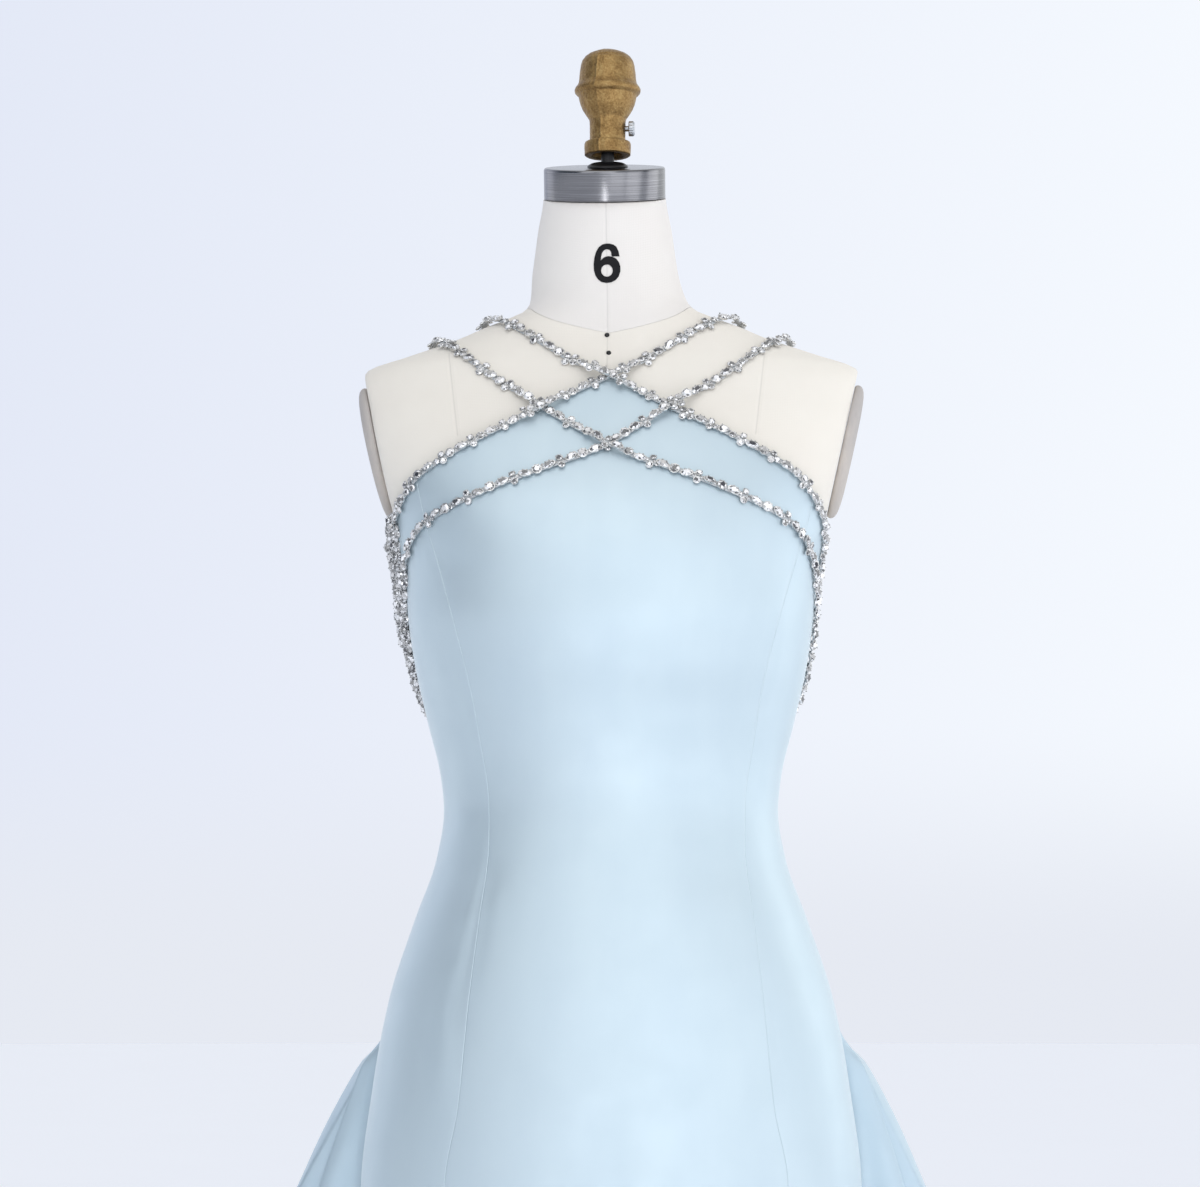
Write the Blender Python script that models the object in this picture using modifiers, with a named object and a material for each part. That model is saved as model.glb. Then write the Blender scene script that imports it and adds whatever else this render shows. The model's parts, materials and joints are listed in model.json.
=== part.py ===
"""A fitted mermaid evening gown with crossed beaded trims and an overskirt with a train,
worn by a limbless dress form on a round-based stand.

Metres, +Z up, the front towards -Y. The origin is the centre of the base's underside.
"""

import math
from typing import NamedTuple

import bmesh
import bpy
from mathutils import Matrix, Vector
from mathutils.bvhtree import BVHTree

# Cloth
WALL = 0.0015            # thickness of every cloth wall
EASE = 0.0020            # air between the form and the gown
SEAM_GAP = 0.0006        # between two panels that are sewn together, at their outer face
SEAM_GAP_WAVE = 0.0012   # added where the cloth waves, since the walls lean together inside
HEM = 0.012              # height of the gown's hem above the floor
TOP_COVER = 0.0035       # how far the satin reaches up under the trim on its edge
FRONT_TWIST = 0.007      # the front seams hang this far towards +X
FLUTE_START = 0.52       # below this height the skirt waves
FLUTE_DEPTH = 0.009      # wave of the skirt at its hem
FLUTE_COUNT = 14

# Beaded trims
BAND_WIDTH = 0.0092
BAND_THICK = 0.0032
BAND_TOP = 0.8           # a band's outer face is this share of its width
BAND_SEAT = 0.0008       # air under a band on the form
BAND_SEAT_GOWN = 0.0013  # and on the gown
BAND_STEP = 0.013        # spacing of a band's sections
BAND_TURN = math.radians(9.0)
CROSSING_REACH = 0.026   # a band starts to climb this far from where it crosses another
CROSSING_FLAT = 0.010    # and is level for this far each side of the crossing
CROSSING_LIFT = BAND_THICK + 0.0006

# Form
NECK_SEAM_FRONT, NECK_SEAM_SIDE, NECK_SEAM_BACK = 1.4445, 1.4732, 1.4920   # its heights
NECK_SEAM_ROWS = 9
NECK_SWAY = -0.005       # the neck's top stands this far to -X
SHOULDER_BASE = 1.394    # where the level rings of the body end
FORM_BOTTOM = 0.782
FORM_SIDES = 40
ARM_TOP = Vector((0.1905, 0.0, 1.4116))
ARM_TILT = math.radians(12.7)
ARM_PLATE_CENTRE = (0.0035, 1.3580)    # y and z
ARM_PLATE_HALF = (0.043, 0.0530)       # half width and half height
ARM_PLATE_THICK = 0.0100
ARM_PLATE_SIDES = 24
CAP_TILT = math.radians(16.0)
CAP_RADIUS = 0.0477
CAP_HEIGHT = 0.0245
CAP_TOP = Vector((NECK_SWAY, 0.0, 1.5832))
FIT = 0.0003             # gap between hard pieces that touch

# Stand
POLE_RADIUS = 0.016
BASE_RADIUS = 0.215
BASE_THICK = 0.010
HUB_RADIUS = 0.034
HUB_HEIGHT = 0.052
FLANGE_RADIUS = 0.060
FLANGE_THICK = 0.006

# Neck rod, finial and its screw
ROD_X = -0.0025
ROD_RADIUS = 0.0051
WASHER_RADIUS = 0.0165
WASHER_THICK = 0.0042
FINIAL_BOTTOM = 1.5925
FINIAL_BORE = ROD_RADIUS + 0.0005
FINIAL_BORE_TOP = 1.6350
SCREW_HEIGHT = 1.6140
SCREW_SHANK = 0.0022
SCREW_TIP = 0.0213       # how far its head reaches from the rod's middle
SCREW_HEAD = 0.0058
SCREW_HEAD_THICK = 0.0048
SCREW_CLEARANCE = 0.0005


class Section(NamedTuple):
    """A level cut of the figure: distances from the stand's axis, and how square it is."""
    height: float
    half_width: float
    front: float
    back: float
    middle: float
    power: float


FIGURE = (
    Section(0.012, 0.3315, 0.2115, 0.2715, 0.000, 2.10),
    Section(0.100, 0.2965, 0.1865, 0.2365, 0.000, 2.10),
    Section(0.220, 0.2505, 0.1545, 0.1865, 0.000, 2.15),
    Section(0.340, 0.2095, 0.1265, 0.1415, 0.000, 2.20),
    Section(0.440, 0.1845, 0.1095, 0.1145, 0.000, 2.25),
    Section(0.540, 0.1765, 0.1035, 0.1045, 0.000, 2.30),
    Section(0.660, 0.1795, 0.1055, 0.1075, 0.000, 2.30),
    Section(0.790, 0.1868, 0.1095, 0.1145, 0.000, 2.35),
    Section(0.870, 0.1780, 0.1135, 0.1215, 0.000, 2.35),
    Section(0.935, 0.1660, 0.1125, 0.1185, 0.000, 2.30),
    Section(0.995, 0.1467, 0.1065, 0.1045, 0.000, 2.25),
    Section(1.040, 0.1308, 0.0985, 0.0905, 0.000, 2.20),
    Section(1.078, 0.1249, 0.0935, 0.0835, 0.000, 2.20),
    Section(1.103, 0.1272, 0.0955, 0.0825, 0.000, 2.20),
    Section(1.149, 0.1382, 0.1075, 0.0885, 0.000, 2.25),
    Section(1.190, 0.1475, 0.1235, 0.0965, 0.000, 2.30),
    Section(1.227, 0.1530, 0.1315, 0.1025, 0.000, 2.35),
    Section(1.262, 0.1565, 0.1305, 0.1065, 0.000, 2.35),
    Section(1.300, 0.1690, 0.1205, 0.1095, 0.002, 2.40),
    Section(1.340, 0.1895, 0.1005, 0.1085, 0.004, 2.40),
    Section(1.380, 0.2015, 0.0765, 0.1035, 0.006, 2.40),
    Section(1.408, 0.2025, 0.0585, 0.0955, 0.008, 2.35),
    Section(1.4225, 0.1915, 0.0500, 0.0895, 0.010, 2.30),
    Section(1.4330, 0.1630, 0.0440, 0.0850, 0.012, 2.20),
    Section(1.4484, 0.1200, 0.0375, 0.0800, 0.014, 2.10),
    Section(1.4562, 0.1032, 0.0355, 0.0775, 0.016, 2.05),
    Section(1.4640, 0.0833, 0.0340, 0.0750, 0.018, 2.00),
    Section(1.4710, 0.0680, 0.0335, 0.0730, 0.019, 2.00),
    Section(1.4790, 0.0618, 0.0335, 0.0715, 0.019, 2.00),
    Section(1.5020, 0.0572, 0.0350, 0.0660, 0.0155, 2.00),
    Section(1.5340, 0.0525, 0.0390, 0.0590, 0.010, 2.00),
    Section(1.5587, 0.0482, 0.0420, 0.0550, 0.0065, 2.00),
    Section(1.6000, 0.0470, 0.0450, 0.0480, 0.002, 2.00),
)


class SeamPoint(NamedTuple):
    """A point of an upright seam: its height and its distance from the middle."""
    height: float
    across: float


FRONT_SEAM = (
    SeamPoint(0.012, 0.215), SeamPoint(0.220, 0.165), SeamPoint(0.340, 0.140), SeamPoint(0.440, 0.124),
    SeamPoint(0.540, 0.119), SeamPoint(0.660, 0.122), SeamPoint(0.800, 0.127), SeamPoint(0.858, 0.117),
    SeamPoint(0.930, 0.110), SeamPoint(0.990, 0.103), SeamPoint(1.053, 0.096), SeamPoint(1.084, 0.0965),
    SeamPoint(1.129, 0.103), SeamPoint(1.170, 0.110), SeamPoint(1.215, 0.121), SeamPoint(1.257, 0.133),
    SeamPoint(1.300, 0.146), SeamPoint(1.345, 0.156),
)
BACK_SEAM = (
    SeamPoint(0.012, 0.180), SeamPoint(0.340, 0.110), SeamPoint(0.540, 0.090), SeamPoint(0.800, 0.096),
    SeamPoint(0.930, 0.084), SeamPoint(1.078, 0.054), SeamPoint(1.200, 0.070),
)


class EdgePoint(NamedTuple):
    """A point of a line round the gown: degrees from the front, and height."""
    angle: float
    height: float


UPPER_LINE = (
    EdgePoint(0.0, 1.4080), EdgePoint(4.2, 1.3945), EdgePoint(10.5, 1.3770), EdgePoint(21.0, 1.3600),
    EdgePoint(29.6, 1.3480), EdgePoint(39.0, 1.3360), EdgePoint(48.5, 1.3250), EdgePoint(60.0, 1.3095),
    EdgePoint(73.0, 1.2930), EdgePoint(82.0, 1.2760), EdgePoint(90.0, 1.2520), EdgePoint(100.0, 1.2220),
    EdgePoint(115.0, 1.1900), EdgePoint(135.0, 1.1600), EdgePoint(157.0, 1.1380), EdgePoint(180.0, 1.1290),
)
LOWER_LINE = (
    EdgePoint(0.0, 1.3460), EdgePoint(4.5, 1.3365), EdgePoint(9.3, 1.3300), EdgePoint(17.0, 1.3215),
    EdgePoint(24.5, 1.3140), EdgePoint(33.5, 1.3060), EdgePoint(43.5, 1.2980), EdgePoint(54.0, 1.2890),
    EdgePoint(66.0, 1.2750), EdgePoint(76.0, 1.2580), EdgePoint(84.0, 1.2350), EdgePoint(90.0, 1.2050),
    EdgePoint(97.0, 1.1760), EdgePoint(112.0, 1.1470), EdgePoint(135.0, 1.1190), EdgePoint(158.0, 1.0980),
    EdgePoint(180.0, 1.0900),
)


class StrapPoint(NamedTuple):
    """A point of a strap over the shoulder, by the side it is seen from: x, and z (or y from above)."""
    seen_from: str
    across: float
    other: float


UPPER_STRAP = (
    StrapPoint("back", 0.072, 1.1560), StrapPoint("back", 0.075, 1.230), StrapPoint("back", 0.081, 1.330),
    StrapPoint("back", 0.088, 1.410), StrapPoint("above", 0.094, 0.018), StrapPoint("front", 0.0700, 1.4505),
    StrapPoint("front", 0.0457, 1.4350), StrapPoint("front", 0.0206, 1.4200),
)
LOWER_STRAP = (
    StrapPoint("back", 0.107, 1.1790), StrapPoint("back", 0.112, 1.245), StrapPoint("back", 0.121, 1.330),
    StrapPoint("back", 0.129, 1.400), StrapPoint("above", 0.134, 0.014), StrapPoint("front", 0.1127, 1.4295),
    StrapPoint("front", 0.0906, 1.4105), StrapPoint("front", 0.0690, 1.3940),
    StrapPoint("front", 0.0530, 1.3810), StrapPoint("front", 0.0370, 1.3700),
    StrapPoint("front", 0.0180, 1.3580),
)
SIDE_CROSSING = Vector((0.0495, 0.0, 1.3775))   # a lower strap meets the other shoulder's upper one


class Drop(NamedTuple):
    """A level of the overskirt: its height and reach at the side, and at the back."""
    side_height: float
    half_width: float
    back_height: float
    back_reach: float
    wave: float


OVERSKIRT = (
    Drop(0.935, 0.1718, 0.962, 0.1205, 0.000),
    Drop(0.905, 0.1850, 0.935, 0.1330, 0.001),
    Drop(0.870, 0.2030, 0.900, 0.1520, 0.003),
    Drop(0.830, 0.2200, 0.855, 0.1780, 0.006),
    Drop(0.780, 0.2385, 0.795, 0.2120, 0.009),
    Drop(0.690, 0.2760, 0.690, 0.2700, 0.013),
    Drop(0.580, 0.3220, 0.570, 0.3350, 0.017),
    Drop(0.460, 0.3700, 0.440, 0.4080, 0.021),
    Drop(0.330, 0.4220, 0.305, 0.4900, 0.025),
    Drop(0.200, 0.4720, 0.170, 0.5820, 0.028),
    Drop(0.095, 0.5120, 0.070, 0.6650, 0.029),
    Drop(0.035, 0.5350, 0.018, 0.7300, 0.026),
    Drop(0.012, 0.5450, 0.0045, 0.8150, 0.020),
)
OVERSKIRT_START = 99.0       # degrees from the front where it leaves the side seam
OVERSKIRT_WAVES = 4.5        # soft flutes on each side
OVERSKIRT_CALM = 0.25        # the flutes grow over this share of the way to the back
OVERSKIRT_COLUMNS = 20       # on each half
OVERSKIRT_SEAT = WALL + 0.0004   # its outer face above the gown at its top seam
OVERSKIRT_LIFT = 0.0006      # and this much further below the seam


class TurnPoint(NamedTuple):
    """A point of a turned outline: radius and height."""
    radius: float
    height: float


FINIAL_OUTLINE = (
    TurnPoint(0.0000, 1.6775), TurnPoint(0.0102, 1.6757), TurnPoint(0.0180, 1.6712),
    TurnPoint(0.0212, 1.6640), TurnPoint(0.0224, 1.6536), TurnPoint(0.0236, 1.6490),
    TurnPoint(0.0258, 1.6460), TurnPoint(0.0258, 1.6432), TurnPoint(0.0232, 1.6408),
    TurnPoint(0.0222, 1.6370), TurnPoint(0.0196, 1.6294), TurnPoint(0.0156, 1.6232),
    TurnPoint(0.0141, 1.6195), TurnPoint(0.0139, 1.6050), TurnPoint(0.0178, 1.6028),
    TurnPoint(0.0182, 1.5990), TurnPoint(0.0178, FINIAL_BOTTOM), TurnPoint(0.0130, FINIAL_BOTTOM),
    TurnPoint(0.0110, FINIAL_BOTTOM + 0.004), TurnPoint(FINIAL_BORE, FINIAL_BOTTOM + 0.004),
    TurnPoint(FINIAL_BORE, FINIAL_BORE_TOP), TurnPoint(0.0000, FINIAL_BORE_TOP),
)
DOME = (   # of an arm plate, in shares of its size and thickness
    TurnPoint(0.975, 0.03), TurnPoint(1.00, 0.30), TurnPoint(0.965, 0.62), TurnPoint(0.85, 0.84),
    TurnPoint(0.60, 0.96), TurnPoint(0.30, 1.00),
)
BASE_OUTLINE = (
    TurnPoint(0.0, BASE_THICK + HUB_HEIGHT), TurnPoint(HUB_RADIUS * 0.72, BASE_THICK + HUB_HEIGHT),
    TurnPoint(HUB_RADIUS * 0.80, BASE_THICK + HUB_HEIGHT * 0.9), TurnPoint(HUB_RADIUS, BASE_THICK + 0.004),
    TurnPoint(HUB_RADIUS + 0.006, BASE_THICK + 0.0005), TurnPoint(BASE_RADIUS - 0.005, BASE_THICK - 0.0015),
    TurnPoint(BASE_RADIUS, BASE_THICK * 0.45), TurnPoint(BASE_RADIUS - 0.0015, 0.0), TurnPoint(0.0, 0.0),
)

SATIN = ("satin", (0.58, 0.76, 0.84, 1.0), 0.38, 0.0)
TRAIN_SATIN = ("overskirt_satin", (0.56, 0.74, 0.83, 1.0), 0.40, 0.0)
BEADS = ("beaded_trim", (0.72, 0.76, 0.78, 1.0), 0.20, 0.6)
CANVAS = ("canvas", (0.80, 0.76, 0.71, 1.0), 0.85, 0.0)
ARM_CANVAS = ("arm_plate", (0.60, 0.56, 0.52, 1.0), 0.70, 0.0)
BRUSHED = ("brushed_steel", (0.60, 0.60, 0.61, 1.0), 0.32, 1.0)
CAST_GOLD = ("cast_gold_finish", (0.55, 0.36, 0.10, 1.0), 0.45, 0.9)
BLACK_STEEL = ("black_steel", (0.02, 0.02, 0.02, 1.0), 0.40, 0.6)
BRIGHT_ZINC = ("bright_zinc", (0.70, 0.71, 0.73, 1.0), 0.30, 1.0)
PAINTED = ("painted_steel", (0.78, 0.78, 0.79, 1.0), 0.35, 0.0)


# Interpolation in the tables

def table_value(rows, key, name, at):
    """A smooth value of column `name`, without overshoot, where column `key` is `at`."""
    keys = [getattr(row, key) for row in rows]
    values = [getattr(row, name) for row in rows]
    if at <= keys[0]:
        return values[0]
    if at >= keys[-1]:
        return values[-1]
    steps = [(values[i + 1] - values[i]) / (keys[i + 1] - keys[i]) for i in range(len(keys) - 1)]
    i = max(j for j in range(len(keys) - 1) if keys[j] <= at)
    slopes = []
    for j in (i, i + 1):
        before = steps[max(j - 1, 0)]
        after = steps[min(j, len(steps) - 1)]
        slopes.append(2.0 * before * after / (before + after) if before * after > 0.0 else 0.0)
    width = keys[i + 1] - keys[i]
    t = (at - keys[i]) / width
    return ((2 * t ** 3 - 3 * t ** 2 + 1) * values[i] + (t ** 3 - 2 * t ** 2 + t) * width * slopes[0]
            + (3 * t ** 2 - 2 * t ** 3) * values[i + 1] + (t ** 3 - t ** 2) * width * slopes[1])


def smooth_step(t):
    """0 to 1, level at both ends."""
    t = min(max(t, 0.0), 1.0)
    return t * t * (3.0 - 2.0 * t)


# The figure's surface

def figure_point(angle, height):
    """The point of the figure's surface, `angle` degrees round from the front."""
    half_width, front, back, middle, power = (
        table_value(FIGURE, "height", name, height) for name in Section._fields[1:])
    turn = math.radians(abs(angle))
    along = abs(math.cos(turn)) ** (2.0 / power)
    across = abs(math.sin(turn)) ** (2.0 / power)
    y = middle - (front + middle) * along if abs(angle) <= 90.0 else middle + (back - middle) * along
    sway = NECK_SWAY * smooth_step((height - 1.455) / 0.05)
    return Vector((math.copysign(half_width * across, angle) + sway, y, height))


def figure_normal(angle, height):
    """Which way the figure's surface faces."""
    turn, rise = 1.5, 0.004
    across = figure_point(angle + turn, height) - figure_point(angle - turn, height)
    if abs(angle) > 178.0:
        across = Vector((-1.0, 0.0, 0.0))
    up = figure_point(angle, height + rise) - figure_point(angle, height - rise)
    return across.cross(up).normalized()


def wave_out(angle, height):
    """How far the skirt's soft flutes stand out."""
    share = smooth_step((FLUTE_START - height) / (FLUTE_START - HEM))
    return FLUTE_DEPTH * share * share * math.cos(math.radians(angle) * FLUTE_COUNT)


def skin(angle, height, out):
    """A point `out` metres off the figure, with the skirt's flutes."""
    return figure_point(angle, height) + figure_normal(angle, height) * (out + wave_out(angle, height))


def seam_angle(seam, height, side):
    """The angle of an upright seam on the side +1 (+X) or -1; `seam` is front, side or back."""
    if seam == "side":
        return 90.0 * side
    half_width = table_value(FIGURE, "height", "half_width", height) + EASE + WALL
    power = table_value(FIGURE, "height", "power", height)
    if seam == "front":
        across = table_value(FRONT_SEAM, "height", "across", height) + side * FRONT_TWIST
    else:
        across = table_value(BACK_SEAM, "height", "across", height)
    turn = math.degrees(math.asin(min(across / half_width, 0.98) ** (power / 2.0)))
    return side * (turn if seam == "front" else 180.0 - turn)


def line_height(line, angle):
    """The height of a line round the gown at an angle."""
    return table_value(line, "angle", "height", abs(angle))


# Meshes

def material(look):
    """The plain material of a look: name, colour, roughness and metallic."""
    name, colour, roughness, metallic = look
    made = bpy.data.materials.get(name)
    if made is None:
        made = bpy.data.materials.new(name)
        made.use_nodes = True
        shader = made.node_tree.nodes["Principled BSDF"]
        shader.inputs["Base Color"].default_value = colour
        shader.inputs["Roughness"].default_value = roughness
        shader.inputs["Metallic"].default_value = metallic
        made.diffuse_color = colour
    return made


def add_object(name, mesh, look, collection="mermaid_gown"):
    """Put a mesh in the scene as a named object."""
    made = bpy.data.objects.new(name, mesh)
    bpy.data.collections[collection].objects.link(made)
    mesh.materials.append(material(look))
    mesh.shade_smooth()
    mesh.set_sharp_from_angle(angle=math.radians(35.0))
    return made


def mesh_from(bm, name):
    """Turn a bmesh into a mesh and free it."""
    mesh = bpy.data.meshes.new(name)
    bm.to_mesh(mesh)
    bm.free()
    return mesh


def grid_mesh(points, name):
    """A sheet of quads through rows of points, each row the same length."""
    bm = bmesh.new()
    rows = [[bm.verts.new(point) for point in row] for row in points]
    for low, high in zip(rows, rows[1:]):
        for i in range(len(low) - 1):
            bm.faces.new((low[i], low[i + 1], high[i + 1], high[i]))
    return mesh_from(bm, name)


def cloth(name, points, look):
    """A cloth wall whose outer face goes through rows of points that run to +angle."""
    made = add_object(name, grid_mesh(points, name), look)
    wall = made.modifiers.new("wall", "SOLIDIFY")
    wall.thickness = WALL
    wall.offset = -1.0
    wall.use_even_offset = True
    return made


def loft(rings, name):
    """A closed body through rings of points, with flat ends."""
    bm = bmesh.new()
    loops = [[bm.verts.new(point) for point in ring] for ring in rings]
    count = len(loops[0])
    for low, high in zip(loops, loops[1:]):
        for i in range(count):
            bm.faces.new((low[i], low[(i + 1) % count], high[(i + 1) % count], high[i]))
    bm.faces.new(list(reversed(loops[0])))
    bm.faces.new(loops[-1])
    bmesh.ops.recalc_face_normals(bm, faces=bm.faces)
    return mesh_from(bm, name)


def keep_below(mesh, point, normal):
    """Cut a closed mesh by a plane, drop what lies beyond it, and close the cut."""
    bm = bmesh.new()
    bm.from_mesh(mesh)
    bmesh.ops.bisect_plane(bm, geom=bm.verts[:] + bm.edges[:] + bm.faces[:], dist=1e-6,
                           plane_co=point, plane_no=normal, clear_outer=True)
    open_edges = [edge for edge in bm.edges if edge.is_boundary]
    bmesh.ops.edgeloop_fill(bm, edges=open_edges)
    bmesh.ops.recalc_face_normals(bm, faces=bm.faces)
    bm.to_mesh(mesh)
    bm.free()


def turned(name, outline, sides, look, place=None):
    """A turned body: an outline run down its outer side, spun about Z."""
    bm = bmesh.new()
    points = [bm.verts.new((point.radius, 0.0, point.height)) for point in outline]
    for a, b in zip(points, points[1:]):
        bm.edges.new((a, b))
    made = add_object(name, mesh_from(bm, name), look)
    spin = made.modifiers.new("turn", "SCREW")
    spin.steps = sides
    spin.render_steps = sides
    spin.use_merge_vertices = True
    spin.merge_threshold = 0.00005
    if place is not None:
        made.matrix_world = place
    return made


def cutter(name, mesh):
    """A hidden body that cuts others."""
    made = bpy.data.objects.new(name, mesh)
    bpy.data.collections["cutters"].objects.link(made)
    made.display_type = "WIRE"
    made.hide_render = True
    return made


def cylinder_mesh(name, radius, depth, place, sides=24):
    """A closed cylinder, centred and turned by `place`."""
    bm = bmesh.new()
    bmesh.ops.create_cone(bm, cap_ends=True, segments=sides, radius1=radius, radius2=radius, depth=depth,
                          matrix=place)
    return mesh_from(bm, name)


def boolean(made, other, operation):
    """Cut or join a body with another."""
    change = made.modifiers.new(operation.lower(), "BOOLEAN")
    change.operation = operation
    change.solver = "EXACT"
    change.object = other


# Gown

def nudge(angle, height, metres):
    """The angle `metres` further round at a height."""
    inward = angle - math.copysign(1.0, angle)
    per_degree = (figure_point(angle, height) - figure_point(inward, height)).length
    return angle + metres / per_degree


def row_heights(top, low_rows, split, high_rows):
    """Heights from the hem to `top`: closer where the figure curves, the last ones reaching the edge."""
    hip = 0.79
    skirt = [HEM + (hip - HEM) * i / low_rows for i in range(low_rows)]
    middle_rows = max(2, round((split - hip) / 0.037))
    middle = [hip + (split - hip) * i / middle_rows for i in range(middle_rows)]
    upper = [split + (top - split) * i / high_rows for i in range(high_rows + 1)]
    return skirt + middle + upper


def half_gap(wave_share):
    """Half the gap at a seam, where the cloth waves by a share of its most."""
    return (SEAM_GAP + SEAM_GAP_WAVE * wave_share) / 2.0


def gown_panel(name, from_seam, to_seam, split, columns, high_rows, peak=None):
    """One cut piece of the gown between two upright seams, each a function of height.

    Where `peak` is given, the middle column runs straight up at that angle.
    """
    out = EASE + WALL
    columns_of_points = []
    for column in range(columns + 1):
        share = column / columns

        def angle_at(height, share=share):
            gap = half_gap(smooth_step((FLUTE_START - height) / (FLUTE_START - HEM)))
            low = nudge(from_seam(height), height, gap)
            high = nudge(to_seam(height), height, -gap)
            if peak is None:
                return low + (high - low) * share
            reach = peak - low if share < 0.5 else high - peak
            return peak + reach * (2.0 * share - 1.0)

        top = 1.25
        for _ in range(14):
            top = 0.5 * top + 0.5 * (line_height(UPPER_LINE, angle_at(top)) + TOP_COVER)
        heights = row_heights(top, 12, split, high_rows)
        columns_of_points.append([skin(angle_at(height), height, out) for height in heights])
    rows = [list(row) for row in zip(*columns_of_points)]
    return cloth(name, rows, SATIN)


def make_gown():
    """The seven cut pieces of the gown."""
    gown_panel("front_center", lambda z: seam_angle("front", z, -1), lambda z: seam_angle("front", z, 1),
               1.14, 12, 9, peak=0.0)
    gown_panel("front_side_right", lambda z: seam_angle("front", z, 1), lambda z: 90.0, 1.14, 4, 9)
    gown_panel("front_side_left", lambda z: -90.0, lambda z: seam_angle("front", z, -1), 1.14, 4, 9)
    gown_panel("back_side_right", lambda z: 90.0, lambda z: seam_angle("back", z, 1), 1.05, 7, 5)
    gown_panel("back_side_left", lambda z: seam_angle("back", z, -1), lambda z: -90.0, 1.05, 7, 5)
    gown_panel("back_center_right", lambda z: seam_angle("back", z, 1), lambda z: 180.0, 1.05, 4, 5)
    gown_panel("back_center_left", lambda z: -180.0, lambda z: seam_angle("back", z, -1), 1.05, 4, 5)


# Overskirt

def overskirt_point(drop, share, side):
    """A point of the overskirt: `drop` a level of its table, `share` 0 at the side seam to 1 at the back."""
    fall = drop.side_height - OVERSKIRT[0].side_height
    lift = OVERSKIRT_SEAT + OVERSKIRT_LIFT * smooth_step(fall / -0.03) + 0.002 * smooth_step(fall / -0.3)
    out = EASE + WALL + lift
    start = skin(OVERSKIRT_START, drop.side_height, out)
    reach = max(drop.half_width, start.x)
    power = 2.0 + 0.25 * smooth_step((drop.side_height - 0.4) / 0.4)
    turn_start = math.acos(min(start.x / reach, 1.0) ** (power / 2.0))
    front_depth = 0.42 * (reach - start.x) + 0.004
    centre_y = start.y + front_depth * math.sin(turn_start) ** (2.0 / power)
    turn = -turn_start + (math.pi / 2 + turn_start) * share
    x = reach * math.cos(turn) ** (2.0 / power) if share < 1.0 else 0.0
    depth = front_depth if turn < 0.0 else drop.back_reach + out - centre_y
    y = centre_y + math.copysign(depth * abs(math.sin(turn)) ** (2.0 / power), turn)
    height = drop.side_height + (drop.back_height - drop.side_height) * smooth_step(share * 1.1 - 0.1)
    phase = math.pi * (2.0 * OVERSKIRT_WAVES * share + 1.0)
    wave = drop.wave * smooth_step(share / OVERSKIRT_CALM) * math.cos(phase)
    outward = Vector((math.cos(turn), math.sin(turn), 0.0))
    free = Vector((x, y, height)) + outward * wave
    seated = skin(OVERSKIRT_START + (180.0 - OVERSKIRT_START) * share, height, out)
    point = free.lerp(seated, smooth_step(1.0 + fall / 0.055))
    if share == 1.0:
        point.x = 0.0
    point.x *= side
    return point


def overskirt_gore(name, side, from_share, to_share):
    """One gore of the overskirt on the side +1 or -1."""
    columns = OVERSKIRT_COLUMNS // 2
    rows = []
    for drop in reversed(OVERSKIRT):
        row = []
        for column in range(columns + 1):
            share = from_share + (to_share - from_share) * column / columns
            row.append(overskirt_point(drop, share, side))
        gap = half_gap(drop.wave / max(level.wave for level in OVERSKIRT))
        first = row[0] + (row[1] - row[0]).normalized() * gap
        last = row[-1] + (row[-2] - row[-1]).normalized() * gap
        rows.append([first] + row[1:-1] + [last])
    if side < 0:
        rows = [list(reversed(row)) for row in rows]
    return cloth(name, rows, TRAIN_SATIN)


def make_overskirt():
    """The four gores of the overskirt and its train."""
    for side, word in ((1, "right"), (-1, "left")):
        overskirt_gore("overskirt_side_" + word, side, 0.0, 0.5)
        overskirt_gore("overskirt_back_" + word, side, 0.5, 1.0)


# Trims

def figure_tree():
    """A finely divided copy of the figure's surface, to lay straps on."""
    bm = bmesh.new()
    rows = []
    height = 1.02
    while height < 1.49:
        rows.append([bm.verts.new(figure_point(angle, height)) for angle in range(-180, 180, 4)])
        height += 0.005
    for low, high in zip(rows, rows[1:]):
        count = len(low)
        for i in range(count):
            bm.faces.new((low[i], low[(i + 1) % count], high[(i + 1) % count], high[i]))
    bm.normal_update()
    tree = BVHTree.FromBMesh(bm)
    bm.free()
    return tree


def strap_place(tree, row, side):
    """Where a strap point lies on the figure, on the side +1 or -1."""
    x = row.across * side
    if row.seen_from == "above":
        hit = tree.ray_cast(Vector((x, row.other, 2.0)), Vector((0, 0, -1)))
    elif row.seen_from == "front":
        hit = tree.ray_cast(Vector((x, -1.0, row.other)), Vector((0, 1, 0)))
    else:
        hit = tree.ray_cast(Vector((x, 1.0, row.other)), Vector((0, -1, 0)))
    return hit[0]


def smooth_route(points, step):
    """Points about `step` apart on a smooth curve through the given ones."""
    route = []
    for i in range(len(points) - 1):
        a = points[max(i - 1, 0)]
        b, c = points[i], points[i + 1]
        d = points[min(i + 2, len(points) - 1)]
        count = max(1, math.ceil((c - b).length / step))
        for k in range(count):
            t = k / count
            route.append(0.5 * ((2 * b) + (c - a) * t + (2 * a - 5 * b + 4 * c - d) * t ** 2
                                + (3 * b - a - 3 * c + d) * t ** 3))
    route.append(points[-1])
    return route


def band_route(tree, strap, line, side):
    """A trim's middle line on the figure: from the back, over its shoulder and round to the other side."""
    points = [strap_place(tree, row, side) for row in strap]
    angles = [0.0, 4.5, 11.0, 19.0, 28.0, 38.0, 48.0, 58.0, 68.0, 78.0, 86.0, 94.0, 103.0, 115.0, 128.0,
              142.0, 157.0, 169.0, 179.7]
    points += [figure_point(-side * angle, line_height(line, angle)) for angle in angles]
    return smooth_route(points, 0.0032)


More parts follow.
